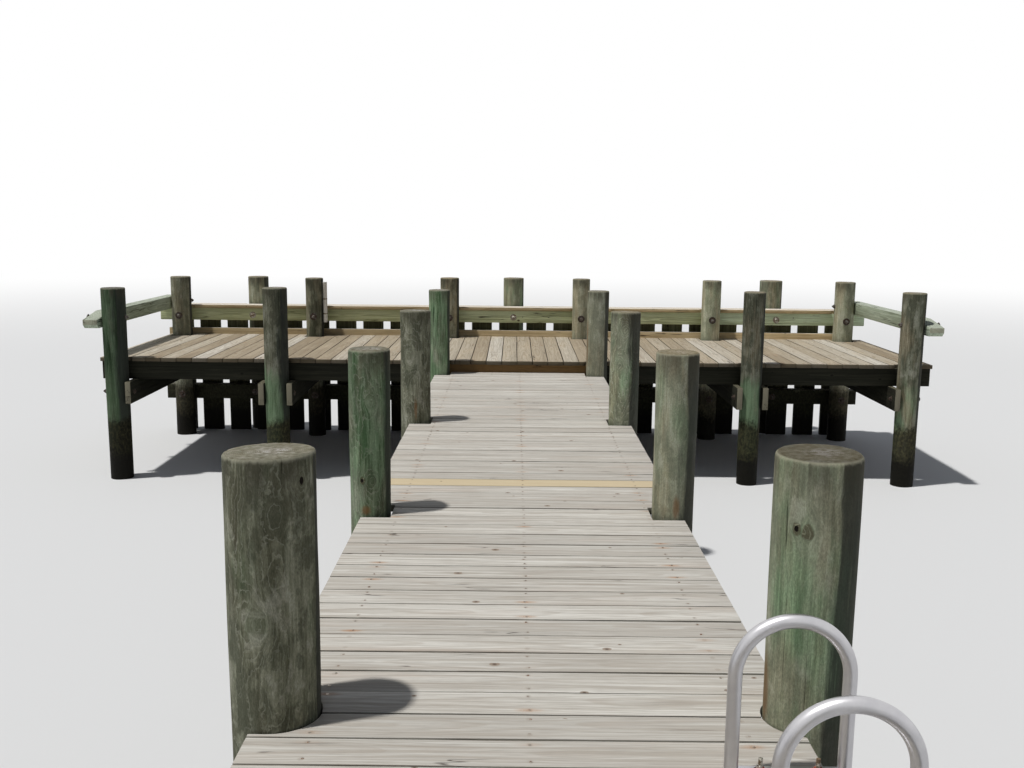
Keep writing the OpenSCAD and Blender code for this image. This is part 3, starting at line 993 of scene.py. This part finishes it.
LOOKS = {
    "walkway_pile_3_left": Look(
        (0.32, 0.3), 0.12, 0.53, 0.85, (92, 14), [(28, 0, 0.05, 0.003, 0.004), (150, 0, 0.5, 0.004, 0.006)],
        [(54, 0.067, 0.009, 0.8), (19, 0.16, 0.024, 0), (-8, 0.475, 0.028, 0)]),
    "walkway_pile_3_right": Look(
        (0.58, 0.5), 0.25, 0.8, 0.25, (86, 68),
        [(-56, 0.12, 0.27, 0.011, 0.008), (-50, 0.29, 0.74, 0.0022, 0.003), (-18, 0.5, 0.83, 0.0018, 0.003)],
        [(-41, 0.2, 0.014, 0.45), (-26, 0.205, 0.017, 0.05), (25, 0.12, 0.014, 0)],
        [(-88, 0.09, 0.035, 0.15)], crown=0.5),
    "walkway_pile_4_left": Look(
        (0.8, 0.75), 0.15, 0.45, 1.0, (88, 36), [(62, 0, 0.5, 0.003, 0.006)],
        [(10, 0.245, 0.026, 0), (-15, 0.645, 0.015, 0.42), (14, 0.645, 0.015, 0)],
        [(-6, 0.03, 0.03, 0.03)], crown=0.9),
    "walkway_pile_4_right": Look(
        (0.4, 0.4), 0.45, 0.85, 0.3, (76, 60), [(20, 0, 0.3, 0.002, 0.004)], [(14, 0.39, 0.02, 0)],
        [(0, 0.06, 0.02, 0.07)]),
    "walkway_pile_5_left": Look(
        (0.1, 0.3), 0.08, 0.56, 0.9, (90, 10), [(95, 0, 0.5, 0.003, 0.005)], [(-20, 0.33, 0.022, 0)],
        [(5, 0.1, 0.012, 0.1)]),
    "walkway_pile_5_right": Look(
        (0.5, 0.5), 0.4, 0.86, 1.25, (75, 58), [(60, 0, 0.6, 0.004, 0.006)],
        [(-25, 0.36, 0.026, 0), (-5, 0.12, 0.02, 0)]),
    "front_pile_1": Look((1.0, 0.75), 0.0, 0.1, 0.1, (75, 55), [(60, 0, 0.8, 0.004, 0.006)], crown=0.6),
    "front_pile_2": Look((0.35, 0.9), 0.1, 0.28, 0.2, (75, 45), [(30, 0, 0.6, 0.003, 0.005)],
                         [(5, 0.87, 0.03, 0)]),
    "front_pile_3": Look((0.9, 1.0), 0.1, 0.62, 0.3, (90, 35), [(-29, 0.148, 0.324, 0.014, 0.013)],
                         [(15, 0.55, 0.02, 0)]),
    "front_pile_4": Look((0.15, 0.3), 0.3, 0.82, 0.3, (82, 42), [(55, 0, 0.4, 0.003, 0.004)],
                         [(10, 0.3, 0.02, 0)], [(-72, 0.3, 0.02, 0.3)]),
    "front_pile_5": Look((0.1, 1.0), 0.6, 0.28, 0.2, (78, 36),
                         [(-5, 0, 0.7, 0.004, 0.007), (38, 0, 0.5, 0.003, 0.005),
                          (-35, 0, 0.4, 0.003, 0.004)]),
    "front_pile_6": Look((0.12, 0.7), 0.6, 0.45, 0.2, (78, 42), [(10, 0, 0.5, 0.002, 0.004)]),
    "back_pile_1": Look((0.1, 0.1), 0.35, 0.72, 0.2, (90, 20), [(-20, 0, 0.3, 0.003, 0.004)]),
    "back_pile_2": Look((0.15, 0.1), 0.35, 0.45, 0.2, (88, 30),
                        [(-8, 0.03, 0.5, 0.007, 0.008), (22, 0.1, 0.6, 0.005, 0.006),
                         (-32, 0, 0.45, 0.004, 0.005)]),
    "back_pile_3": Look((0.1, 0.1), 0.75, 0.6, 0.2, (85, 30), [(-10, 0, 0.5, 0.004, 0.005)]),
    "back_pile_4": Look((0.2, 0.1), 0.45, 1.1, 0.15, (90, 20), [(30, 0, 0.3, 0.002, 0.004)]),
    "back_pile_5": Look((0.35, 0.1), 0.4, 1.4, 0.1, (90, 12), [(-35, 0, 0.4, 0.002, 0.004)]),
    "back_pile_6": Look((0.3, 0.1), 0.4, 1.05, 0.1, (90, 14), [(40, 0, 0.4, 0.002, 0.004)]),
    "outer_post_left": Look((0.4, 0.4), 0.4, 0.8, 0.1, (80, 34), [(15, 0, 0.4, 0.004, 0.005)]),
    "outer_post_middle": Look((0.5, 0.4), 0.45, 0.82, 0.1, (85, 24), [(-45, 0.02, 0.1, 0.008, 0.008)]),
    "outer_post_right": Look((0.5, 0.4), 0.45, 0.78, 0.1, (85, 30)),
}
USUAL_LOOK = Look(splits=[(40, 0, 0.5, 0.003, 0.006), (200, 0, 0.6, 0.004, 0.007)],
                  knots=[(-30, 0.3, 0.016, 0.3), (150, 0.5, 0.02, 0)])
NO_KNOT = (0, -50, 0.001, 0)


def pile_columns(look, radius, count):
    """Bearings of the pile's columns, with three close together at each split: lip, bottom and lip."""
    angles = list(np.linspace(0, 2 * math.pi, count, endpoint=False) + 0.013)
    middles = []
    for bearing, _, _, width, _ in look.splits:
        middle = math.radians(bearing) % (2 * math.pi)
        clear = (width / 2 + 0.002) / radius
        angles = [a for a in angles if abs((a - middle + math.pi) % (2 * math.pi) - math.pi) > clear]
        angles += [(middle + lip * clear) % (2 * math.pi) for lip in (-0.3, 0, 0.3)]
        middles.append(middle)
    return np.array(sorted(angles)), middles


def pile_radius(post, level):
    return post.foot + (post.radius - post.foot) * level / (post.head - post.rim)


def build_pile(name, post, finish):
    """A lathe-turned pile with slow bulges, open splits and a worn head, inside its CAD solid."""
    look = LOOKS.get(name, USUAL_LOOK)
    seed = random.Random(name).uniform(0, 9)
    rng = np.random.default_rng(int(seed * 1000))
    up_side, round_it = NEAR_DETAIL if name in NEAR_PILES else USUAL_DETAIL
    rim, radius, shoulder = post.rim, post.radius, post.head - post.rim
    angles, middles = pile_columns(look, radius, round_it)
    around = len(angles)
    # Rows run up the side, closer together under the head, then over the rim and in to the middle
    heights = shoulder * (1 - (1 - np.linspace(0, 1, up_side)) ** 1.25)
    arc = np.linspace(0, math.pi / 2, 6)[1:]
    inner = np.linspace(1, 0, 10)[1:-1]
    flat = radius - rim
    reach = np.concatenate([pile_radius(post, heights), flat + rim * np.cos(arc), flat * inner])
    level = np.concatenate([heights, shoulder + rim * np.sin(arc), np.full(len(inner), post.head)])[:, None]
    rows = len(reach)
    on_head = np.arange(rows) >= len(heights) + len(arc) - 1
    theta = np.tile(angles, (rows, 1))
    # Slow bulges, always inward
    bulge = np.zeros((rows, around))
    for _ in range(9):
        turns, climb, phase = rng.integers(1, 6), rng.uniform(1.5, 9), rng.uniform(0, 6.28)
        bulge += np.sin(theta * turns + level * climb + phase) / (1 + 0.25 * turns)
    nibble = sum(np.sin(angles * rng.integers(5, 46) + rng.uniform(0, 6.28)) for _ in range(12))
    drop = post.head - level
    near_rim = np.exp(-((drop - 0.4 * rim) / (rim + 0.002)) ** 2) * (0.5 + 0.5 * np.tanh(nibble * 0.4))
    dent = (0.0013 + 0.0013 * np.tanh(bulge * 0.6) + near_rim * 0.0009) * ~on_head[:, None]
    sink = near_rim * 0.0007 + (0.00025 + 0.00025 * np.sin(theta * 5)) * on_head[:, None]
    opened = np.zeros((rows, around))
    depth_below = drop[:, 0]
    for (_, start, end, width, depth), middle in zip(look.splits, middles):
        column = int(np.argmin(np.abs(angles - middle)))
        ragged = 0.8 + 0.2 * np.sin(level[:, 0] * 41 + middle * 7)
        if start > 0:
            share = np.sin(np.clip((depth_below - start) / (end - start), 0, 1) * math.pi) ** 0.7 * ragged
            on_top = 0.0
        else:
            share = np.clip(1 - depth_below / end, 0, 1) ** 0.5 * ragged
            on_top = np.clip((reach / radius - 0.4) / 0.6, 0, 1)
        share = np.where(on_head, on_top, share)
        half = np.maximum(width / 2 * share, 0.0006) / radius
        theta[:, (column - 1) % around] = angles[column] - half
        theta[:, (column + 1) % around] = angles[column] + half
        opened[:, column] = np.clip(share * 1.6, 0, 1)
        dent[:, column] += depth * share * ~on_head
        sink[:, column] += depth * share * on_head
    side = reach[:, None] - np.minimum(dent, reach[:, None] * 0.8)
    # A bearing of 0 faces the shore, which is -Y
    dx, dy = side * np.sin(theta), -side * np.cos(theta)
    tilt = np.clip(1 - drop / 0.12, 0, 1) ** 2
    z = np.maximum(level - sink + tilt * (post.slope[0] * dx + post.slope[1] * dy), 0.0)
    ends = [[0, 0, post.head - 0.0008], [0, 0, 0]]
    points = np.vstack([np.stack([dx, dy, z], axis=2).reshape(-1, 3), ends])
    tip = rows * around
    index = np.arange(tip).reshape(rows, around)
    beside = np.roll(index, -1, axis=1)
    faces = np.stack([index[:-1], beside[:-1], beside[1:], index[1:]], axis=2).reshape(-1, 4).tolist()
    faces += [(a, b, tip) for a, b in zip(index[-1].tolist(), beside[-1].tolist())]
    faces += [(b, a, tip + 1) for a, b in zip(index[0].tolist(), beside[0].tolist())]
    mesh = bpy.data.meshes.new(name)
    mesh.from_pydata((points + [post.x, post.y, 0]).tolist(), [], faces)
    store(mesh, "stem", points)
    store(mesh, "seed", np.full(len(points), seed))
    store(mesh, "crown", np.full(len(points), look.crown))
    store(mesh, "below", np.append(np.repeat(depth_below, around), [0.0, post.head]))
    store(mesh, "split", np.append(opened, [0.0, 0.0]))
    store_look(mesh, look, points, post)
    mesh.update()
    finish_piece(name, mesh, finish, [post.node], smooth_deg=62)


def turned_from(points, bearing):
    """Degrees from each point round to the bearing."""
    here = np.degrees(np.arctan2(points[:, 0], -points[:, 1]))
    return (here - bearing + 180) % 360 - 180


def store_look(mesh, look, points, post):
    """Writes the pile's tints, its dark side of painted shade, stains and knots for its material to read."""
    ones = np.ones(len(points))
    share = np.clip((points[:, 2] - DECK_TOP + 0.12) / 0.24, 0, 1)
    green = look.green[1] + (look.green[0] - look.green[1]) * share
    store(mesh, "tint", np.column_stack([green, ones * look.warm, ones * look.pale]))
    # The dark side is painted shade away from the key light, partly timber that has really gone dark
    middle, width = look.shade
    shade = np.clip(1 - np.abs(turned_from(points, middle)) / (2 * width), 0, 1)
    stain = ones * 0
    for bearing, height, wide, tall in look.stains:
        aside = np.radians(turned_from(points, bearing)) * post.radius / wide
        rise = (points[:, 2] - DECK_TOP - height) / tall
        stain = np.maximum(stain, np.exp(-aside ** 2 - rise ** 2))
    store(mesh, "mood", np.column_stack([ones * look.contours, shade, stain]))
    knots = [*look.knots, NO_KNOT, NO_KNOT, NO_KNOT][:3]
    for n, (bearing, below_head, _, _) in enumerate(knots, 1):
        angle = math.radians(bearing)
        centre = (post.radius * math.sin(angle), -post.radius * math.cos(angle), post.head - below_head)
        store(mesh, "knot_%d" % n, np.outer(ones, centre))
    store(mesh, "knot_sizes", np.outer(ones, [knot[2] for knot in knots]))
    store(mesh, "knot_hearts", np.outer(ones, [knot[3] for knot in knots]))


def store(mesh, name, values):
    kind, key = ("FLOAT_VECTOR", "vector") if values.ndim == 2 else ("FLOAT", "value")
    layer = mesh.attributes.new(name, kind, "POINT")
    layer.data.foreach_set(key, np.asarray(values, np.float32).ravel())


# Fastenings

CAP_WASHER = 0.026
CAP_HALF = 0.046
ROOMY = 1.0


def washer(bm, centre, axis, radius, thick=0.006):
    lathe(bm, [(0, 0), (radius, 0), (radius, thick * 0.6), (radius - 0.002, thick),
               (radius * 0.4, thick * 0.8), (0, thick * 0.8)], centre, axis, steps=28)


def hex_nut(bm, centre, axis, across, height, turn):
    corner = across / math.sqrt(3)
    lathe(bm, [(0, 0), (corner, 0), (corner, height * 0.88), (corner * 0.9, height), (0, height)],
          centre, axis, steps=6, turn=turn)


def stud(bm, centre, axis, radius, length):
    """Threaded end: one small ridge for each turn of the thread."""
    pitch = 0.0018
    profile = [(0, 0), (radius, 0)]
    for n in range(int(length / pitch)):
        profile += [(radius * 0.86, (n + 0.5) * pitch), (radius, (n + 1) * pitch)]
    lathe(bm, profile + [(radius * 0.75, length), (0, length)], centre, axis, steps=14)


def through_bolt(plates, heads, centre, axis, rng, plate):
    """Washer, nut and stud end against a face at the centre, pointing along the axis. The plate is the
    washer's radius."""
    centre, axis = Vector(centre), Vector(axis)
    washer(plates, centre - axis * 0.001, axis, plate)
    hex_nut(heads, centre + axis * 0.004, axis, 0.032, 0.015, rng.uniform(0, 1))
    stud(heads, centre + axis * 0.018, axis, 0.0095, 0.012)


def bolt_head(plates, heads, centre, axis, plate, height=0.015):
    """Washer and domed head against a face."""
    centre, axis = Vector(centre), Vector(axis)
    washer(plates, centre - axis * 0.001, axis, plate, 0.4 * height)
    lathe(heads, [(0.019, 0.2 * height), (0.0185, 0.47 * height), (0.014, 0.8 * height),
                  (0.007, 0.97 * height), (0, height)], centre, axis, steps=18)


def beam_faces(node):
    """The boxes of a node's separate beams, as (low, high) arrays."""
    return [extent(part) for part in welded_parts(node)]


def line_centres(node, axis):
    return [float((low[axis] + high[axis]) / 2) for low, high in beam_faces(node)]


def seaward_face(x, level, screen):
    """Where a bolt through the wale comes out: on a screen board, or on the wale in a gap."""
    for low, high in screen:
        if low[0] + 0.02 < x < high[0] - 0.02 and low[2] < level < high[2]:
            return high[1]
    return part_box("upper_wale")[1].y


def main_bolts(posts, dark, dull, light):
    """Bolts through the wales, caps and rails. Only the wale's own domed heads are still bright. The dark
    washers are rusted steel, and on the back piles they are painted darker, partly as the shade round the
    bolts.
    """
    rng = random.Random("bolts")
    plates, nuts, heads = bmesh.new(), bmesh.new(), bmesh.new()
    screen = beam_faces("wave_screen")
    for n in range(1, 7):
        post = posts["back_pile_%d" % n]
        for level, steel in ((WALE_LEVEL, nuts), (LOW_WALE_LEVEL, plates)):
            face = post.y - pile_radius(post, level) + 0.002
            through_bolt(plates, steel, (post.x, face, level), (0, -1, 0), rng, plate=0.04)
            face = seaward_face(post.x, level, screen)
            bolt_head(plates, nuts, (post.x, face, level), (0, 1, 0), plate=0.03)
    for part in ROW_PARTS:
        post = posts["outer_post_" + part]
        for level, steel in ((WALE_LEVEL - 0.008, heads), (LOW_WALE_LEVEL, plates)):
            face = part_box("upper_wale")[0].y
            bolt_head(steel, steel, (post.x, face, level), (0, -1, 0), plate=0.0375)
            face = post.y + pile_radius(post, level) - 0.002
            if face + 0.016 < cad_high[1]:
                bolt_head(plates, nuts, (post.x, face, level), (0, 1, 0), plate=0.034)
    rail_bolts(plates, nuts, posts, rng)
    cap_bolts(plates, posts, rng)
    finish_steel("bolt_washers", plates, dark)
    finish_steel("bolt_nuts", nuts, dull)
    finish_steel("bolt_heads", heads, light)


def rail_bolts(plates, nuts, posts, rng):
    low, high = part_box("side_rail_left")
    for number, out in ((1, -1), (6, 1)):
        for row in ("front", "back"):
            post = posts["%s_pile_%d" % (row, number)]
            inner = pile_radius(post, RAIL_BOLT_LEVEL) - 0.002
            outer = inner + (high.z - low.z) - 0.005
            place = Vector((post.x, post.y, RAIL_BOLT_LEVEL))
            axis = AXES[0] * out
            through_bolt(plates, nuts, place - axis * inner, -axis, rng, plate=0.024)
            bolt_head(plates, nuts, place + axis * outer, axis, plate=0.026)


def cap_bolt(steel, place, axis, room, rng):
    """The nut is on the low side, and a head where there is too little room for it."""
    if min(axis) < 0 and room > 0.04:
        through_bolt(steel, steel, place, axis, rng, CAP_WASHER)
    else:
        bolt_head(steel, steel, place, axis, CAP_WASHER, min(0.015, 0.7 * room))


def cap_bolts(steel, posts, rng):
    """One bolt through each half cap and its pile, with the nut on the far side."""
    for n, names in enumerate([*WALKWAY_PAIRS.values(), ["front_pile_3", "front_pile_4"]], 1):
        level = mid_level("walkway_cap_%d" % n)
        for name in names:
            post = posts[name]
            for side in (-1, 1):
                face = post.y + side * (pile_radius(post, post.head) + CAP_HALF)
                cap_bolt(steel, (post.x, face, level + 0.03), AXES[1] * side, face - cad_low[1], rng)
    for n in range(1, 7):
        node = "platform_cap_%d" % n
        level = mid_level(node)
        beams = line_centres(node, 0)
        for row in ("front", "back"):
            post = posts["%s_pile_%d" % (row, n)]
            for side in (-1, 1):
                if any(middle * side > post.x * side for middle in beams):
                    reach = pile_radius(post, post.head) + CAP_HALF
                else:
                    reach = pile_radius(post, level) - 0.002
                cap_bolt(steel, (post.x + side * reach, post.y, level), AXES[0] * side, ROOMY, rng)


def screen_nails(finish):
    """Two nail heads on each screen board at each wale, on the seaward side."""
    rng = random.Random("nails")
    bm = bmesh.new()
    for low, high in beam_faces("wave_screen"):
        middle = (low[0] + high[0]) / 2
        for level in (WALE_LEVEL, LOW_WALE_LEVEL):
            for side, rise in ((-1, -0.035), (-1, 0.035), (1, -0.035), (1, 0.035)):
                place = (middle + side * 0.075 + rng.uniform(-0.006, 0.006), high[1] - 0.0018,
                         level + rise + rng.uniform(-0.006, 0.006))
                lathe(bm, [(0.0055, 0), (0.0055, 0.0022), (0.0045, 0.003), (0, 0.003)], place, AXES[1],
                      steps=10)
    finish_steel("screen_nails", bm, finish)


# Ladder

def sweep(bm, path, radius, steps=28):
    """Tube along a path that stays in one XZ plane, closed at both ends."""
    points = [Vector(p) for p in path]
    rings = []
    for behind, point, ahead in zip(points[:1] + points, points, points[1:] + points[-1:]):
        side = (ahead - behind).normalized().cross(AXES[1])
        rings.append(ring_of(bm, point, side, AXES[1], radius, steps))
    bridge(bm, rings)
    bm.faces.new(rings[0][::-1])
    bm.faces.new(rings[-1])


def weld_bead(bm, centre, radius, rng):
    """Uneven ring of weld where a tube meets a plate."""
    steps, size = 40, 0.0035
    rows = []
    for n in range(steps):
        angle = 2 * math.pi * n / steps
        wave = 1 + 0.16 * math.sin(n * 2.1 + rng.uniform(-0.3, 0.3))
        outward = Vector((math.cos(angle), math.sin(angle), 0))
        rows.append([bm.verts.new(Vector(centre) + outward * out + AXES[2] * rise)
                     for out, rise in ((radius - 0.001, size * wave),
                                       (radius + size * 0.6 * wave, size * 0.7), (radius + size * wave, 0))])
    for row, after in zip(rows, rows[1:] + rows[:1]):
        for k in (0, 1):
            bm.faces.new([row[k], row[k + 1], after[k + 1], after[k]])


def rounded_plate(bm, low, high, corner):
    """Flat plate with round corners."""
    outline = []
    for cx, cy, start in ((high[0] - corner, high[1] - corner, 0), (low[0] + corner, high[1] - corner, 90),
                          (low[0] + corner, low[1] + corner, 180), (high[0] - corner, low[1] + corner, 270)):
        for n in range(5):
            angle = math.radians(start + 22.5 * n)
            outline.append((cx + corner * math.cos(angle), cy + corner * math.sin(angle)))
    lower, upper = ([bm.verts.new((x, y, z)) for x, y in outline] for z in (low[2], high[2]))
    bm.faces.new(upper)
    bm.faces.new(lower[::-1])
    bridge(bm, [lower, upper])


def ladder(alloy, steel, rusty):
    rng = random.Random("ladder")
    hoops, studs, nuts = bmesh.new(), bmesh.new(), bmesh.new()
    up = AXES[2]
    for part in welded_parts("ladder_hoops"):
        co = corners_of(part).astype(float)
        part.free()
        low, high = co.min(0), co.max(0)
        foot = co[co[:, 2] < 0.001]
        radius = (foot.max(0) - foot.min(0))[0] / 2
        leg_out, y = foot.min(0)[:2] + radius
        leg_in = low[0] + radius
        bend = (leg_out - leg_in) / 2
        spring = high[2] - radius - bend
        inner_leg = [(leg_in, y, DECK_TOP + (spring - DECK_TOP) * n / 6) for n in range(6)]
        arc = [(leg_in + bend - bend * math.cos(a), y, spring + bend * math.sin(a))
               for a in np.linspace(0, math.pi, 49)]
        outer_leg = [(leg_out, y, spring * (1 - n / 12)) for n in range(1, 13)]
        sweep(hoops, inner_leg + arc + outer_leg, radius)
        plate = co[(co[:, 2] > DECK_TOP - 0.001) & (co[:, 2] < DECK_TOP + 0.012)]
        plate_top = DECK_TOP + 0.006
        near, far = plate[:, 1].min(), plate[:, 1].max()
        rounded_plate(hoops, (leg_in - 0.004, near, DECK_TOP), (leg_out, far, plate_top), 0.008)
        for x in (leg_in, leg_out):
            weld_bead(hoops, (x, y, plate_top), radius, rng)
        for x in (leg_in + 0.08, leg_out - 0.068):
            place = Vector((x, (near + far) / 2, plate_top))
            washer(nuts, place, up, 0.019, 0.003)
            hex_nut(nuts, place + up * 0.0028, up, 0.021, 0.009, rng.uniform(0, 1))
            stud(studs, place + up * 0.0115, up, 0.0062, 0.026)
    bmesh.ops.recalc_face_normals(hoops, faces=hoops.faces[:])
    finish_mesh("ladder_tubes", hoops, alloy, ["ladder_hoops"], smooth_deg=40)
    finish_steel("ladder_studs", studs, steel)
    finish_steel("ladder_nuts", nuts, rusty)
    dress("ladder_steps", "ladder_treads", alloy, 1, arris=0.0008, wear=0.0)


def rod_tube(plastic, steel):
    """Open white tube with a rolled lip, held by two straps."""
    low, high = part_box("rod_holder")
    radius, length = (high.x - low.x) / 2, high.z - low.z
    foot = ((low.x + high.x) / 2, (low.y + high.y) / 2, low.z)
    bore = radius - 0.005
    tube, straps = bmesh.new(), bmesh.new()
    lathe(tube, [(0, 0), (radius - 0.004, 0), (radius - 0.001, 0.003), (radius - 0.001, length - 0.016),
                 (radius, length - 0.012), (radius, length - 0.003), (radius - 0.0015, length),
                 (bore + 0.001, length - 0.001), (bore, length - 0.02), (bore, 0.014), (0, 0.014)],
          foot, steps=40)
    finish_mesh("rod_tube", tube, plastic, ["rod_holder"])
    for level in (0.09, length - 0.2):
        lathe(straps, [(radius - 0.0014, level), (radius - 0.0002, level + 0.0005),
                       (radius - 0.0002, level + 0.0175), (radius - 0.0014, level + 0.018)], foot, steps=40)
    finish_steel("rod_straps", straps, steel)


# Stage

def blend_out(web, usual, other, share, end):
    """Mixes another shader over the tree's usual one by the share, and links the two to the end."""
    base = Wire(web, web.tree.nodes[usual].outputs[0])
    blend = web.wire("ShaderNodeMixShader", {0: share, 1: base, 2: other})
    web.feed(web.tree.nodes[end].inputs["Surface"], blend)


def floor_and_light():
    bm = bmesh.new()
    bmesh.ops.create_circle(bm, cap_ends=True, segments=96, radius=60)
    floor = add_object("floor", mesh_of(bm, "floor"))
    web = new_material("pale floor")
    floor.data.materials.append(surface(web, (0.74, 0.745, 0.75), 0.9, sheen=0.5))
    fade = (web.position() * (1.0, 1.0, 0.0)).length().step(14, 42)
    seen = web.named(web.node("ShaderNodeLightPath")).is_camera_ray
    glow = web.wire("ShaderNodeEmission", {"Color": (1, 1, 1), "Strength": 1})
    blend_out(web, "Principled BSDF", glow, fade * seen, "Material Output")

    world = bpy.data.worlds.new("studio")
    bpy.context.scene.world = world
    world.use_nodes = True
    web = Web(world.node_tree)
    lit = web.tree.nodes["Background"].inputs
    web.feed(lit["Color"], (0.88, 0.95, 1.1))
    web.feed(lit["Strength"], 0.15)
    white = web.wire("ShaderNodeBackground", {"Color": (1, 1, 1), "Strength": 1})
    path = web.named(web.node("ShaderNodeLightPath"))
    seen = web.math("MAXIMUM", path.is_camera_ray,
                    web.math("MAXIMUM", path.is_glossy_ray, path.is_transmission_ray))
    blend_out(web, "Background", white, seen, "World Output")

    key = bpy.data.lights.new("key", "SUN")
    key.energy = 2.75
    key.angle = math.radians(2.2)
    key.color = (1.0, 0.985, 0.955)
    # High on the left and a little behind the camera
    travel = Vector((0.322, 0.118, -0.935))
    add_object("key", key).rotation_euler = travel.to_track_quat("-Z", "Y").to_euler()
    bpy.context.scene.view_settings.view_transform = "Standard"


def camera():
    low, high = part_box("front_piles_middle")
    data = bpy.data.cameras.new("camera")
    data.lens = LENS
    data.sensor_width = 36
    data.clip_end = 500
    eye = add_object("camera", data)
    place = (EYE_X, (low.y + high.y) / 2 - EYE_DISTANCE, DECK_TOP + EYE_HEIGHT)
    eye.matrix_world = (Matrix.Translation(place)
                        @ Matrix.Rotation(math.radians(YAW_DEG), 4, "Z")
                        @ Matrix.Rotation(math.radians(90 - PITCH_DEG), 4, "X")
                        @ Matrix.Rotation(math.radians(ROLL_DEG), 4, "Z"))
    bpy.context.scene.camera = eye


def timbers(posts, olive, green, dark, tan, screen):
    """The sawn members, each along its own axis."""
    joints = [posts["back_pile_3"].x, posts["back_pile_5"].x]
    walkway_joints = [posts["walkway_pile_3_left"].y, posts["walkway_pile_5_left"].y]
    front_joints = [posts["front_pile_3"].x, posts["front_pile_4"].x]
    cap_joints = [posts["back_pile_2"].x, posts["back_pile_4"].x]

    def fascia_tone(centre, rng):
        return (0.35, float(abs(centre[0]) < 0.5), rng.random())

    def wale_tone(centre, _):
        # The right-hand length has bleached most, and the left-hand one least
        tones = [(0.6, 0.0, 0.05), (0.95, 0.0, 0.3), (0.9, 0.0, 1.0)]
        return tones[sum(centre[0] > joint for joint in joints)]

    # The caps, stringers, joists and fascia take the timber that is painted dark as shade
    for n in range(1, 7):
        dress("walkway_split_cap_%d" % n, "walkway_cap_%d" % n, dark, 0)
        dress("platform_split_cap_%d" % n, "platform_cap_%d" % n, dark, 1)
    dress("stringers", "walkway_stringers", dark, 1, cuts=walkway_joints)
    dress("joists", "platform_joists", dark, 0, cuts=joints)
    dress("fascia", "front_fascia", dark, 0, cuts=front_joints, tone_of=fascia_tone)
    dress("wale", "upper_wale", olive, 0, cuts=joints, arris=0.005, tone_of=wale_tone)
    dress("low_wale", "lower_wale", screen, 0, cuts=joints, arris=0.005)
    for side in ("left", "right"):
        dress("rail_" + side, "side_rail_" + side, green, 1, arris=0.005)
    dress("kick_plank", "kick_board", tan, 0, cuts=joints)
    dress("cap_plank", "cap_board", tan, 0, cuts=cap_joints)
    dress("screen_planks", "wave_screen", screen, 2)


def main():
    camera()
    floor_and_light()
    sawn_grain_group()
    drying_check_group()
    tide_group()
    fastener_stain_group()
    knot_group()
    posts = read_posts()
    pile_finish = pile_material()
    for name, post in posts.items():
        build_pile(name, post, pile_finish)
    stringers = line_centres("walkway_stringers", 0)
    joists = line_centres("platform_joists", 1) + line_centres("front_fascia", 1)
    walkway = read_deck("walkway_deck_1", "walkway_deck_5", 0, WALK_SEAM, WALK_PITCH, posts)
    platform = read_deck("platform_deck", "platform_deck", 1, PLATFORM_SEAM, PLATFORM_PITCH, posts)
    walkway_boards(walkway, walkway_board_material(stringers))
    platform_boards(platform, platform_board_material(joists))
    timbers(posts,
            beam_material("olive timber", (0.25, 0.26, 0.13), (0.52, 0.555, 0.32), (0.68, 0.72, 0.47),
                          (0.62, 0.62, 0.48), silver=(1.2, 1.34, 1.65)),
            beam_material("green rail", (0.17, 0.195, 0.135), (0.41, 0.47, 0.355), (0.61, 0.665, 0.54),
                          (0.5, 0.54, 0.45)),
            # Painted shade: the caps, stringers, joists and fascia are painted far darker than their wood, to
            # stand in for the shade under the decks; part of the darkness is real wet, dirty timber
            beam_material("shaded timber", (0.013, 0.013, 0.009), (0.026, 0.026, 0.018), (0.05, 0.048, 0.033),
                          (0.14, 0.13, 0.09)),
            beam_material("tan timber", (0.36, 0.265, 0.145), (0.63, 0.495, 0.29), (0.78, 0.65, 0.44),
                          (0.84, 0.79, 0.7)),
            # Painted shade in part: the screen boards and the low wale are painted darker than their
            # weathered olive wood, to stand in for the shade behind and under the platform
            beam_material("screen timber", (0.07, 0.07, 0.04), (0.14, 0.14, 0.085), (0.25, 0.245, 0.165),
                          (0.42, 0.4, 0.32), tide=True))
    # Dark steel for the washers and nails: rusted, and painted darker, partly as the shade round the back
    # piles' bolts
    dark_steel = steel_material("dark bolts", (0.1, 0.095, 0.09), (0.07, 0.045, 0.03), 0.75)
    light_steel = steel_material("galvanised bolts", (0.34, 0.325, 0.28), (0.22, 0.15, 0.09), 0.55)
    rusty = steel_material("rusted nuts", (0.4, 0.36, 0.32), (0.4, 0.09, 0.05), 0.8)
    dull_steel = steel_material("dull bolts", (0.19, 0.18, 0.165), (0.13, 0.085, 0.055), 0.5)
    main_bolts(posts, dark_steel, dull_steel, light_steel)
    screen_nails(dark_steel)
    screw_steel = steel_material("weathered screws", (0.34, 0.31, 0.27), (0.3, 0.16, 0.09), 0.45)
    screws("walkway_screws", walkway, stringers, screw_steel, posts)
    screws("platform_screws", platform, joists, screw_steel, posts)
    ladder(alloy_material(), light_steel, rusty)
    rod_tube(plastic_material(), light_steel)


main()
